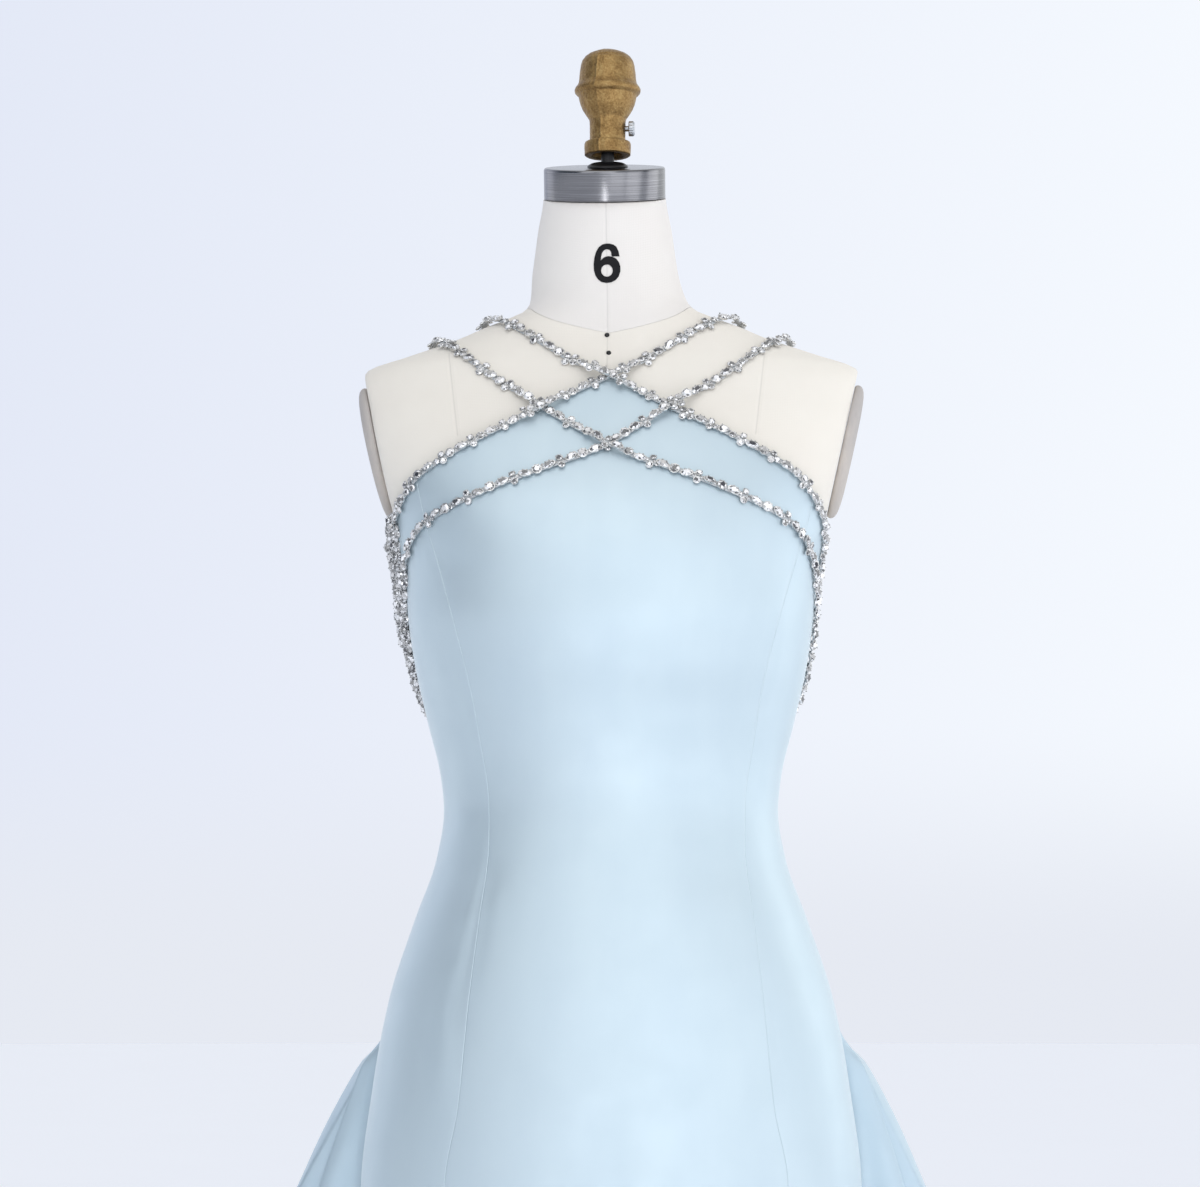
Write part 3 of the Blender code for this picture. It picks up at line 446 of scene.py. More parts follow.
def add_node(tree: bpy.types.NodeTree, kind: str, inputs: dict[int | str, object],
             **settings: object) -> bpy.types.Node:
    """Add a node.

    Args:
        tree: The tree that it goes into.
        kind: Its type.
        inputs: A value or an output for each input, by name or number.
        settings: Its own settings.

    Returns:
        The node.
    """
    node = tree.nodes.new(kind)
    for key, value in settings.items():
        setattr(node, key, value)
    for key, value in inputs.items():
        if isinstance(value, Socket):
            tree.links.new(value, node.inputs[key])
        else:
            node.inputs[key].default_value = value
    return node


class Bench:
    """Adds and joins the nodes of one material."""

    def __init__(self, name: str) -> None:
        """Start a material of a name."""
        self.material = bpy.data.materials.new(name)
        self.material.use_nodes = True
        self.tree = self.material.node_tree
        self.shader = self.tree.nodes["Principled BSDF"]
        self.place = self.tree.nodes.new("ShaderNodeTexCoord")
        self.spot = self.place.outputs["Object"]

    def add(self, kind: str, inputs: dict[int | str, object], **settings: object) -> bpy.types.Node:
        """Add a node, with the arguments of `add_node`."""
        return add_node(self.tree, kind, inputs, **settings)

    def sum(self, operation: str, *values: object) -> Socket:
        """One step of arithmetic."""
        return self.add("ShaderNodeMath", dict(enumerate(values)), operation=operation).outputs[0]

    def split(self, vector: object) -> bpy.types.bpy_prop_collection:
        """The x, y and z of a vector."""
        return self.add("ShaderNodeSeparateXYZ", {0: vector}).outputs

    def length(self, vector: object) -> Socket:
        """How long a vector is."""
        return self.add("ShaderNodeVectorMath", {0: vector}, operation="LENGTH").outputs[1]

    def stretched(self, source: str, scale: Colour) -> Socket:
        """The piece's coordinates, scaled on each axis."""
        return self.add("ShaderNodeMapping", {0: self.place.outputs[source], 3: scale}).outputs[0]

    def noise(self, vector: object, scale: float, detail: float = 2.0, rough: float = 0.5) -> Socket:
        """Cloudy values about 0.5."""
        return self.add("ShaderNodeTexNoise", {"Vector": vector, "Scale": scale, "Detail": detail,
                                               "Roughness": rough}).outputs[0]

    def ramp(self, value: object, stops: Sequence[tuple[float, Colour]]) -> Socket:
        """Colours along a value."""
        node = self.add("ShaderNodeValToRGB", {0: value})
        marks = node.color_ramp.elements
        while len(marks) < len(stops):
            marks.new(0.5)
        for mark, (at, colour) in zip(marks, stops):
            mark.position = at
            mark.color = (*colour, 1.0)
        return node.outputs[0]

    def spread(self, value: object, low: float, high: float, to_low: float, to_high: float) -> Socket:
        """A value moved from one range to another, held at its ends."""
        return self.add("ShaderNodeMapRange", {0: value, 1: low, 2: high, 3: to_low, 4: to_high}).outputs[0]

    def mix(self, share: object, a: object, b: object) -> Socket:
        """A colour between two."""
        values = [value if isinstance(value, Socket) else (*value, 1.0) for value in (a, b)]
        return self.add("ShaderNodeMix", {0: share, 6: values[0], 7: values[1]},
                        data_type="RGBA").outputs[2]

    def bump(self, height: object, distance: float, strength: float = 1.0,
             under: object = None) -> Socket:
        """A surface that stands up by a height times a distance."""
        inputs = {"Height": height, "Distance": distance, "Strength": strength}
        if under is not None:
            inputs["Normal"] = under
        return self.add("ShaderNodeBump", inputs).outputs[0]

    def done(self, **sockets: object) -> Material:
        """Join the shader's own sockets.

        Args:
            sockets: A value or an output for each, named with _ for a space.

        Returns:
            The material.
        """
        for key, value in sockets.items():
            socket = self.shader.inputs[key.replace("_", " ")]
            if isinstance(value, Socket):
                self.tree.links.new(value, socket)
            elif isinstance(value, tuple) and len(value) == 3 and socket.type == "RGBA":
                socket.default_value = (*value, 1.0)
            else:
                socket.default_value = value
        return self.material


@dataclass(frozen=True)
class Satin:
    """Duchess satin: glossy warp threads that lie over a matt ground."""

    name: str
    colour: Colour
    deep: Colour
    roughness: float = 0.54
    thread_gloss: float = 0.66
    sheen: float = 0.5

    def build(self) -> Material:
        """Make the material."""
        bench = Bench(self.name)
        threads = bench.noise(bench.stretched("UV", (2600.0, 190.0, 1.0)), 1.0, 2.0)
        slubs = bench.noise(bench.stretched("UV", (26.0, 7.0, 1.0)), 1.0, 3.0)
        colour = bench.ramp(bench.spread(slubs, 0.3, 0.7, 0.0, 1.0), ((0.0, self.deep), (1.0, self.colour)))
        shine = bench.spread(bench.noise(bench.spot, 34.0), 0.3, 0.7, self.roughness - 0.03, self.roughness + 0.04)
        return bench.done(Base_Color=colour, Metallic=self.thread_gloss, Roughness=shine, IOR=1.5,
                          Specular_IOR_Level=0.5, Sheen_Weight=self.sheen, Sheen_Roughness=0.3,
                          Sheen_Tint=(0.93, 0.98, 1.0), Normal=bench.bump(threads, 0.00006, 0.4))


@dataclass(frozen=True)
class CutStone:
    """Clear cut stones, each facet with its own painted brightness: random painted glints and painted dark
    reflections.
    """

    name: str = "cut stone"
    # dark and bright: the colours of the painted dark reflections and painted glints on the facets
    dark: Colour = (0.05, 0.05, 0.06)
    bright: Colour = (0.98, 0.98, 1.0)

    def build(self) -> Material:
        """Make the material."""
        bench = Bench(self.name)
        # painted glint: each facet's stored random brightness becomes its base colour
        glint = bench.add("ShaderNodeAttribute", {}, attribute_name="glint").outputs["Fac"]
        cloud = bench.noise(bench.spot, 900.0, 1.0)
        value = bench.sum("ADD", glint, bench.spread(cloud, 0.3, 0.7, -0.06, 0.06))
        colour = bench.ramp(value, ((0.08, self.dark), (0.3, (0.2, 0.2, 0.195)), (0.55, (0.56, 0.55, 0.545)),
                                    (0.78, self.bright)))
        return bench.done(Base_Color=colour, Metallic=0.25, Roughness=0.1, IOR=1.7, Specular_IOR_Level=0.8)


@dataclass(frozen=True)
class CupMetal:
    """The stones' silver settings, a little dull in random patches."""

    name: str = "silver cups"

    def build(self) -> Material:
        """Make the material."""
        bench = Bench(self.name)
        cloud = bench.noise(bench.spot, 520.0, 2.0)
        colour = bench.ramp(cloud, ((0.25, (0.34, 0.34, 0.34)), (0.7, (0.8, 0.8, 0.79))))
        return bench.done(Base_Color=colour, Metallic=0.95, Roughness=bench.spread(cloud, 0.2, 0.8, 0.2, 0.38))


@dataclass(frozen=True)
class Backing:
    """The woven silver tape that the stones are sewn to."""

    name: str = "silver tape"

    def build(self) -> Material:
        """Make the material."""
        bench = Bench(self.name)
        weave = bench.noise(bench.stretched("UV", (1800.0, 1800.0, 1.0)), 1.0, 1.0)
        colour = bench.ramp(weave, ((0.3, (0.3, 0.32, 0.33)), (0.7, (0.62, 0.64, 0.66))))
        return bench.done(Base_Color=colour, Metallic=0.2, Roughness=0.5, Normal=bench.bump(weave, 0.0002, 0.7))


@dataclass(frozen=True)
class SeamLine:
    """A straight seam seen from the front or the back: x and z at both ends."""

    start: Pair
    end: Pair
    front: bool = True


@dataclass(frozen=True)
class Canvas:
    """The form's off-white cotton cover with its sewn seams."""

    name: str
    colour: Colour
    stain: Colour
    seams: tuple[SeamLine, ...] = ()

    def seam_share(self, bench: Bench, width: float) -> Socket:
        """1 on the seams and 0 away from them."""
        x, y, z = bench.split(bench.spot)
        total: object = 0.0
        for seam in self.seams:
            (x0, z0), (x1, z1) = seam.start, seam.end
            slope = (x1 - x0) / (z1 - z0)
            offset = bench.sum("SUBTRACT", x, bench.sum("MULTIPLY_ADD", z, slope, x0 - slope * z0))
            near = bench.spread(bench.sum("ABSOLUTE", offset), 0.0, width, 1.0, 0.0)
            inside = bench.sum("MULTIPLY", bench.spread(z, z0 - 0.002, z0, 0.0, 1.0),
                               bench.spread(z, z1, z1 + 0.002, 1.0, 0.0))
            side = bench.spread(y, -0.004, 0.004, float(seam.front), float(not seam.front))
            total = bench.sum("MAXIMUM", total, bench.sum("MULTIPLY", near, bench.sum("MULTIPLY", inside, side)))
        return total

    def build(self) -> Material:
        """Make the material."""
        bench = Bench(self.name)
        threads = {"Vector": bench.spot, "Scale": 240.0, "Distortion": 1.2, "Detail": 1.0, "Detail Scale": 3.0}
        weave = bench.sum("MULTIPLY", *(bench.add("ShaderNodeTexWave", threads, wave_type="BANDS",
                                                  bands_direction=way).outputs["Fac"] for way in "XZ"))
        cloud = bench.noise(bench.spot, 9.0, 4.0, 0.6)
        colour = bench.ramp(cloud, ((0.32, self.stain), (0.62, self.colour)))
        surface = bench.bump(weave, 0.00012, 0.35)
        if self.seams:
            dark = tuple(0.62 * value for value in self.stain)
            colour = bench.mix(bench.sum("MULTIPLY", self.seam_share(bench, 0.0009), 0.34), colour, dark)
            surface = bench.bump(bench.sum("SUBTRACT", 1.0, self.seam_share(bench, 0.0026)), 0.0004, 0.7, surface)
        return bench.done(Base_Color=colour, Roughness=bench.spread(weave, 0.0, 1.0, 0.92, 0.82), Normal=surface,
                          Sheen_Weight=0.15)


@dataclass(frozen=True)
class ArmCover:
    """The arm plates' cover, grey and darker above, tan and lighter below."""

    name: str = "worn arm cover"
    above: Colour = (0.44, 0.41, 0.39)
    below: Colour = (0.52, 0.475, 0.435)

    def build(self) -> Material:
        """Make the material."""
        bench = Bench(self.name)
        cloud = bench.noise(bench.spot, 60.0, 4.0, 0.6)
        # colour graded by height: darker and grey above, lighter and tan below, with random patches
        height = bench.sum("ADD", bench.spread(bench.split(bench.spot)[2], 1.325, 1.395, 0.0, 1.0),
                           bench.spread(cloud, 0.3, 0.7, -0.25, 0.25))
        colour = bench.ramp(height, ((0.15, self.below), (0.75, self.above)))
        weave = bench.noise(bench.spot, 900.0, 2.0)
        return bench.done(Base_Color=colour, Roughness=bench.spread(cloud, 0.3, 0.7, 0.72, 0.55),
                          Normal=bench.bump(weave, 0.0002, 0.4))


@dataclass(frozen=True)
class BrushedSteel:
    """Steel brushed round an axis."""

    name: str
    tilt: float
    centre: Place

    def build(self) -> Material:
        """Make the material."""
        bench = Bench(self.name)
        x, y, z = bench.split(bench.add("ShaderNodeMapping", {0: bench.spot, 1: self.centre,
                                                              2: (self.tilt, 0.0, 0.0)},
                                        vector_type="TEXTURE").outputs[0])
        radius = bench.length(bench.add("ShaderNodeCombineXYZ", {0: x, 1: y}).outputs[0])
        scaled = enumerate(((radius, 2400.0), (z, 2400.0), (x, 14.0)))
        ring = bench.add("ShaderNodeCombineXYZ", {i: bench.sum("MULTIPLY", value, scale)
                                                  for i, (value, scale) in scaled}).outputs[0]
        lines = bench.noise(ring, 1.0, 3.0, 0.6)
        colour = bench.ramp(lines, ((0.3, (0.15, 0.15, 0.16)), (0.7, (0.3, 0.3, 0.315))))
        return bench.done(Base_Color=colour, Metallic=1.0, Roughness=bench.spread(lines, 0.3, 0.7, 0.17, 0.26),
                          Normal=bench.bump(lines, 0.00005, 0.4))


@dataclass(frozen=True)
class CastGold:
    """A rough casting under a thin gold finish."""

    name: str = "rough cast gold finish"

    def build(self) -> Material:
        """Make the material."""
        bench = Bench(self.name)
        grain = bench.noise(bench.spot, 620.0, 4.0, 0.65)
        patch = bench.noise(bench.spot, 120.0, 3.0)
        colour = bench.ramp(bench.sum("ADD", bench.sum("MULTIPLY", grain, 0.6), bench.sum("MULTIPLY", patch, 0.4)),
                            ((0.34, (0.17, 0.095, 0.032)), (0.5, (0.3, 0.185, 0.07)), (0.68, (0.44, 0.3, 0.125))))
        return bench.done(Base_Color=colour, Metallic=0.9, Roughness=bench.spread(grain, 0.3, 0.7, 0.44, 0.32),
                          Normal=bench.bump(grain, 0.0007, 0.8))


@dataclass(frozen=True)
class Painted:
    """Smooth painted or plated metal with a faint orange peel."""

    name: str
    colour: Colour
    worn: Colour
    roughness: float
    metallic: float = 0.0
    coat: float = 0.0
    gloss: float = 0.5

    def build(self) -> Material:
        """Make the material."""
        bench = Bench(self.name)
        wear = bench.noise(bench.spot, 38.0, 4.0, 0.6)
        colour = bench.ramp(wear, ((0.34, self.worn), (0.56, self.colour)))
        return bench.done(Base_Color=colour, Metallic=self.metallic, Specular_IOR_Level=self.gloss,
                          Coat_Weight=self.coat,
                          Roughness=bench.spread(wear, 0.3, 0.7, self.roughness + 0.08, self.roughness - 0.04),
                          Normal=bench.bump(bench.noise(bench.spot, 260.0, 2.0), 0.0001, 0.3))


class Finish(Enum):
    """The finishes of the whole part."""

    SATIN = Satin("ice blue satin", (0.585, 0.69, 0.745), (0.565, 0.67, 0.73))
    OVERSKIRT = Satin("ice blue overskirt satin", (0.53, 0.645, 0.72), (0.505, 0.62, 0.695), 0.56)
    STONE = CutStone()
    CUP = CupMetal()
    TAPE = Backing()
    ARM = ArmCover()
    STEEL = BrushedSteel("brushed steel cap", CAP_TILT, CAP_TOP)
    GOLD = CastGold()
    BLACK = Painted("black steel", (0.012, 0.012, 0.014), (0.03, 0.03, 0.03), 0.34, 0.5)
    ZINC = Painted("bright zinc", (0.62, 0.64, 0.66), (0.4, 0.42, 0.45), 0.26, 1.0)
    ENAMEL = Painted("off-white enamel", (0.74, 0.74, 0.75), (0.64, 0.64, 0.63), 0.3, 0.0, 0.4)
    INK = Painted("black ink", (0.01, 0.01, 0.012), (0.016, 0.015, 0.016), 0.62, 0.0, 0.0, 0.12)
    BODY = Canvas("form cover", (0.8, 0.76, 0.69), (0.775, 0.73, 0.66), (
        SeamLine((-0.0012, 0.79), (-0.0012, 1.444)),
        SeamLine((-0.0012, 0.79), (-0.0012, 1.491), front=False),
        SeamLine((-0.1135, 1.36), (-0.124, 1.43)), SeamLine((0.112, 1.36), (0.119, 1.425)),
        SeamLine((-0.08, 1.1), (-0.11, 1.43), front=False),
        SeamLine((0.08, 1.1), (0.11, 1.43), front=False)))
    NECK = Canvas("neck cover", (0.785, 0.755, 0.72), (0.755, 0.72, 0.685), (
        SeamLine((-0.0012, 1.446), (-0.0028, 1.572)),
        SeamLine((-0.003, 1.49), (-0.005, 1.58), front=False)))

    def material(self) -> Material:
        """The finish's material, made once."""
        return bpy.data.materials.get(self.value.name) or self.value.build()


def piece(name: str, mesh: Mesh, finish: Finish | None, body: str = GOWN_BODY,
          replaces: Sequence[str] = ()) -> Thing:
    """Put a finished piece in the scene.

    Args:
        name: The piece's name.
        mesh: Its mesh, already in place.
        finish: Its finish; none where the mesh carries its own.
        body: The body that it moves with.
        replaces: The CAD nodes that it stands for.

    Returns:
        The piece.
    """
    made = linked(name, mesh)
    if finish is not None:
        mesh.materials.clear()
        mesh.materials.append(finish.material())
    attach(made, body)
    if replaces:
        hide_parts(*replaces)
    LOG.info("%s: %d faces", name, len(mesh.polygons))
    return made


def add_wall(made: Thing, thickness: float) -> None:
    """Give a sheet its thickness, inwards from its outer face."""
    wall = made.modifiers.new("wall", "SOLIDIFY")
    wall.thickness = thickness
    wall.offset = -1.0
    wall.use_even_offset = True


def cloth_uv(points: Array) -> Array:
    """Cloth coordinates in metres: along the rows and up the columns."""
    along = np.linalg.norm(np.diff(points, axis=1), axis=-1)
    up = np.linalg.norm(np.diff(points, axis=0), axis=-1)
    u = np.concatenate([np.zeros((len(points), 1)), np.cumsum(along, axis=1)], axis=1)
    v = np.concatenate([np.zeros((1, points.shape[1])), np.cumsum(up, axis=0)], axis=0)
    return np.stack([u - u.mean(1, keepdims=True), v], -1)


def seam_distance(steps: Sequence[float], columns: int) -> Array:
    """How far each column of a panel is from the nearer seam, near the seams, and 1 between them."""
    return np.concatenate([steps, np.full(columns, 1.0), steps[::-1]])


# Gown

class Seam(Enum):
    """The gown's upright seams, each on the -X and the +X side."""

    FRONT = "front"
    SIDE = "side"
    BACK = "back"
    MIDDLE_BACK = "middle back"


@dataclass(frozen=True)
class Panel:
    """One cut piece of the gown, between two seams, and the cloth it is cut from."""

    name: str
    low: tuple[Seam, int]
    high: tuple[Seam, int]
    columns: int
    flat: Pair
    area: float


PANELS = (
    Panel("front_center", (Seam.FRONT, -1), (Seam.FRONT, 1), 66, (0.46, 1.42), 0.387),
    Panel("front_side_right", (Seam.FRONT, 1), (Seam.SIDE, 1), 22, (0.19, 1.32), 0.158),
    Panel("front_side_left", (Seam.SIDE, -1), (Seam.FRONT, -1), 22, (0.2, 1.32), 0.18),
    Panel("back_side_right", (Seam.SIDE, 1), (Seam.BACK, 1), 34, (0.28, 1.26), 0.212),
    Panel("back_side_left", (Seam.BACK, -1), (Seam.SIDE, -1), 34, (0.28, 1.26), 0.212),
    Panel("back_center_right", (Seam.BACK, 1), (Seam.MIDDLE_BACK, 1), 18, (0.21, 1.14), 0.123),
    Panel("back_center_left", (Seam.MIDDLE_BACK, -1), (Seam.BACK, -1), 18, (0.21, 1.14), 0.123),
)

# Creases: degrees round from the front and height at three places, then how high and how wide.
GOWN_CREASES: Rows = (
    (-56.5, 1.276, -55.5, 1.268, -55.0, 1.259, 0.0006, 0.0032),
    (-63.0, 1.273, -61.0, 1.27, -59.5, 1.266, 0.0005, 0.0036),
    (-50.0, 1.28, -49.0, 1.264, -48.0, 1.245, -0.0005, 0.005),
    (-46.0, 1.318, -30.0, 1.296, -14.0, 1.286, 0.0007, 0.009),
    (-60.0, 1.275, -44.0, 1.262, -30.0, 1.262, -0.0008, 0.01),
    (-52.0, 1.22, -46.0, 1.16, -44.0, 1.11, -0.001, 0.011),
    (52.0, 1.23, 47.0, 1.165, 45.0, 1.115, -0.0008, 0.012),
    (-38.0, 1.112, -20.0, 1.1, -6.0, 1.104, 0.0007, 0.01),
    (8.0, 1.092, 24.0, 1.084, 40.0, 1.094, -0.0007, 0.009),
    (-70.0, 1.075, -56.0, 1.066, -46.0, 1.07, 0.0008, 0.008),
    (60.0, 1.066, 72.0, 1.058, 86.0, 1.064, 0.0007, 0.008),
    (-43.5, 1.06, -41.5, 1.0, -40.5, 0.93, 0.001, 0.006),
    (-38.5, 1.04, -36.5, 0.985, -35.5, 0.915, -0.0008, 0.008),
    (-46.0, 0.965, -41.0, 0.905, -38.0, 0.85, 0.0012, 0.008),
    (44.0, 0.96, 41.0, 0.905, 39.0, 0.85, -0.0009, 0.01),
    (-20.0, 0.9, -6.0, 0.872, 10.0, 0.868, 0.0006, 0.014),
    (120.0, 1.15, 140.0, 1.128, 160.0, 1.11, -0.0008, 0.01),
    (-124.0, 1.14, -145.0, 1.118, -166.0, 1.106, 0.0008, 0.01),
    (148.0, 1.094, 166.0, 1.08, 178.0, 1.078, 0.0008, 0.008),
    (-134.0, 1.086, -154.0, 1.07, -172.0, 1.066, -0.0008, 0.009),
    (110.0, 1.076, 128.0, 1.064, 146.0, 1.058, 0.0009, 0.009),
    (-104.0, 1.066, -122.0, 1.052, -140.0, 1.05, 0.0008, 0.01),
    (-30.0, 0.64, -24.0, 0.52, -21.0, 0.33, 0.0022, 0.016),
    (34.0, 0.68, 30.0, 0.5, 28.0, 0.25, -0.0024, 0.02),
    (10.0, 0.56, 6.0, 0.4, 4.0, 0.18, 0.0018, 0.018),
    (-58.0, 0.6, -52.0, 0.42, -50.0, 0.22, -0.0022, 0.018),
    (66.0, 0.64, 60.0, 0.43, 58.0, 0.2, 0.0022, 0.017),
    (-8.0, 0.76, -14.0, 0.69, -24.0, 0.64, -0.0012, 0.014),
    (16.0, 0.77, 24.0, 0.7, 36.0, 0.66, 0.0011, 0.015),
    (118.0, 0.66, 122.0, 0.43, 124.0, 0.18, 0.0022, 0.02),
    (-132.0, 0.7, -136.0, 0.45, -138.0, 0.2, -0.0022, 0.02),
)


@dataclass
class Gown:
    """The sheath of the gown: seven cut pieces from the neckline to the floor."""

    ease: float = 0.002
    wall: float = 0.0015
    cloth: float = 0.0012
    hem: float = 0.012
    top_cover: float = 0.0032
    front_twist: float = 0.007
    flute_start: float = 0.52
    flute_depth: float = 0.009
    flute_count: int = 14
    seam_gap: float = 0.00008
    seam_gap_wave: float = 0.001
    seam_roll: float = 0.00014
    roll_width: float = 0.0024
    row_step: float = 0.0052
    edge_steps: tuple[float, ...] = (0.0, 0.0006, 0.0014, 0.0028, 0.0055)
    hem_fold: float = 0.03
    upper_line: Table = field(default_factory=lambda: Table.column(UPPER_LINE_ROWS, 1))
    front_seam: Table = field(default_factory=lambda: Table.column(FRONT_SEAM_ROWS, 1))
    back_seam: Table = field(default_factory=lambda: Table.column(BACK_SEAM_ROWS, 1))

    def flutes(self, angle: Array, height: Array) -> Array:
        """How far the skirt's soft flutes stand out, uneven round the hem."""
        share = smooth_step((self.flute_start - height) / (self.flute_start - self.hem))
        turn = np.radians(angle)
        uneven = 1.0 + 0.3 * np.sin(3.0 * turn + 0.8) + 0.15 * np.sin(5.0 * turn + 2.0)
        shift = 0.55 * np.sin(2.0 * turn + 0.5) * np.cos(turn / 2.0) ** 2
        return self.flute_depth * share * share * uneven * np.cos(turn * self.flute_count + shift)

    def skin(self, angle: Array, height: Array, out: Array | float) -> Array:
        """Points off the figure by a distance, with the skirt's flutes."""
        lift = np.asarray(out + self.flutes(angle, height))[..., None]
        return FIGURE.point(angle, height) + FIGURE.normal(angle, height) * lift

    def seam_angle(self, seam: tuple[Seam, int], height: Array) -> Array:
        """Degrees round from the front of an upright seam at heights."""
        kind, side = seam
        if kind is Seam.SIDE:
            return np.full_like(height, 90.0 * side)
        if kind is Seam.MIDDLE_BACK:
            return np.full_like(height, 180.0 * side)
        half_width = FIGURE.tables[0].at(height) + self.ease + self.wall
        power = FIGURE.tables[4].at(height)
        if kind is Seam.FRONT:
            across = self.front_seam.at(height) + side * self.front_twist
        else:
            across = self.back_seam.at(height)
        turn = np.degrees(np.arcsin(np.minimum(across / half_width, 0.98) ** (power / 2.0)))
        return side * (turn if kind is Seam.FRONT else 180.0 - turn)

    def column_angles(self, panel: Panel, height: Array) -> Array:
        """The angles of a panel's columns, which are on the last axis of the heights."""
        low, high = self.seam_angle(panel.low, height), self.seam_angle(panel.high, height)
        flare = smooth_step((self.flute_start - height) / (self.flute_start - self.hem))
        gap = (self.seam_gap + self.seam_gap_wave * flare) / 2.0
        steps = np.array(self.edge_steps)
        full = np.full(panel.columns + len(steps), steps[-1])
        first = low + (gap + np.concatenate([steps, full])) / FIGURE.metres_per_degree(low, height)
        last = high - (gap + np.concatenate([full, steps[::-1]])) / FIGURE.metres_per_degree(high, height)
        inner = np.linspace(0.0, 1.0, panel.columns + 2)[1:-1]
        share = np.concatenate([np.zeros(len(steps)), inner, np.ones(len(steps))])
        if panel.name == "front_center":
            return np.where(share < 0.5, first * (1.0 - 2.0 * share), last * (2.0 * share - 1.0))
        return np.where(share < 1.0, first + (last - first) * share, last)

    def points(self, panel: Panel) -> Array:
        """The outer face of a panel: rows, columns, coordinates."""
        columns = panel.columns + 2 * len(self.edge_steps)
        top = np.full(columns, 1.25)
        for _ in range(16):
            angle = self.column_angles(panel, top)
            top = 0.5 * top + 0.5 * (self.upper_line.at(np.abs(angle)) + self.top_cover)
        count = round((top.max() - self.hem) / self.row_step)
        low_edge = np.array([0.0, 0.0008, 0.002, 0.004]) / (top.mean() - self.hem)
        fold = self.hem_fold / (top.mean() - self.hem)
        fold_rows = fold + np.array([-0.0022, -0.0009, 0.0, 0.0009, 0.0022])
        regular = np.linspace(0.0, 1.0, count + 1)
        regular = regular[(regular > low_edge[-1] + 0.002) & (np.abs(regular - fold) > 0.0045)]
        share = np.sort(np.concatenate([low_edge, fold_rows, regular]))[:, None]
        height = self.hem + (top - self.hem) * share
        angle = self.column_angles(panel, height)
        out = self.ease + self.wall
        base = self.skin(angle, height, out)
        creases = [Crease(np.reshape(row[:6], (3, 2)), *row[6:]) for row in GOWN_CREASES]
        lift = crease_relief(base, creases, lambda line: self.skin(line[:, 0], line[:, 1], out))
        distance = seam_distance(self.edge_steps, panel.columns)
        lift = lift * (1.0 - 0.8 * np.exp(-(distance / 0.004) ** 2))
        lift -= self.seam_roll * np.exp(-(distance / self.roll_width) ** 2)
        above_hem = height - self.hem
        lift -= 0.0004 * np.exp(-((above_hem - self.hem_fold) / 0.0012) ** 2)
        lift -= 0.0006 * np.exp(-(above_hem / 0.0012) ** 2)
        return base + FIGURE.normal(angle, height) * lift[..., None]

    def build(self) -> None:
        """Make the seven pieces."""
        for panel in PANELS:
            points = self.points(panel)
            mesh = finish_mesh(grid_mesh(panel.name, points, cloth_uv(points)), 60.0)
            made = piece(panel.name + "_satin", mesh, Finish.SATIN, replaces=[panel.name])
            add_wall(made, self.cloth)


# Overskirt

@dataclass(frozen=True)
class Gore:
    """One cut piece of the overskirt: its share of the way from the side seam to the back."""

    word: str
    start: float
    end: float
    columns: int
    flat: Pair
    area: float


GORES = (
    Gore("side", 0.0, 0.5, 62, (0.62, 1.05), 0.3),
    Gore("back", 0.5, 1.0, 84, (0.9, 1.36), 0.54),
)


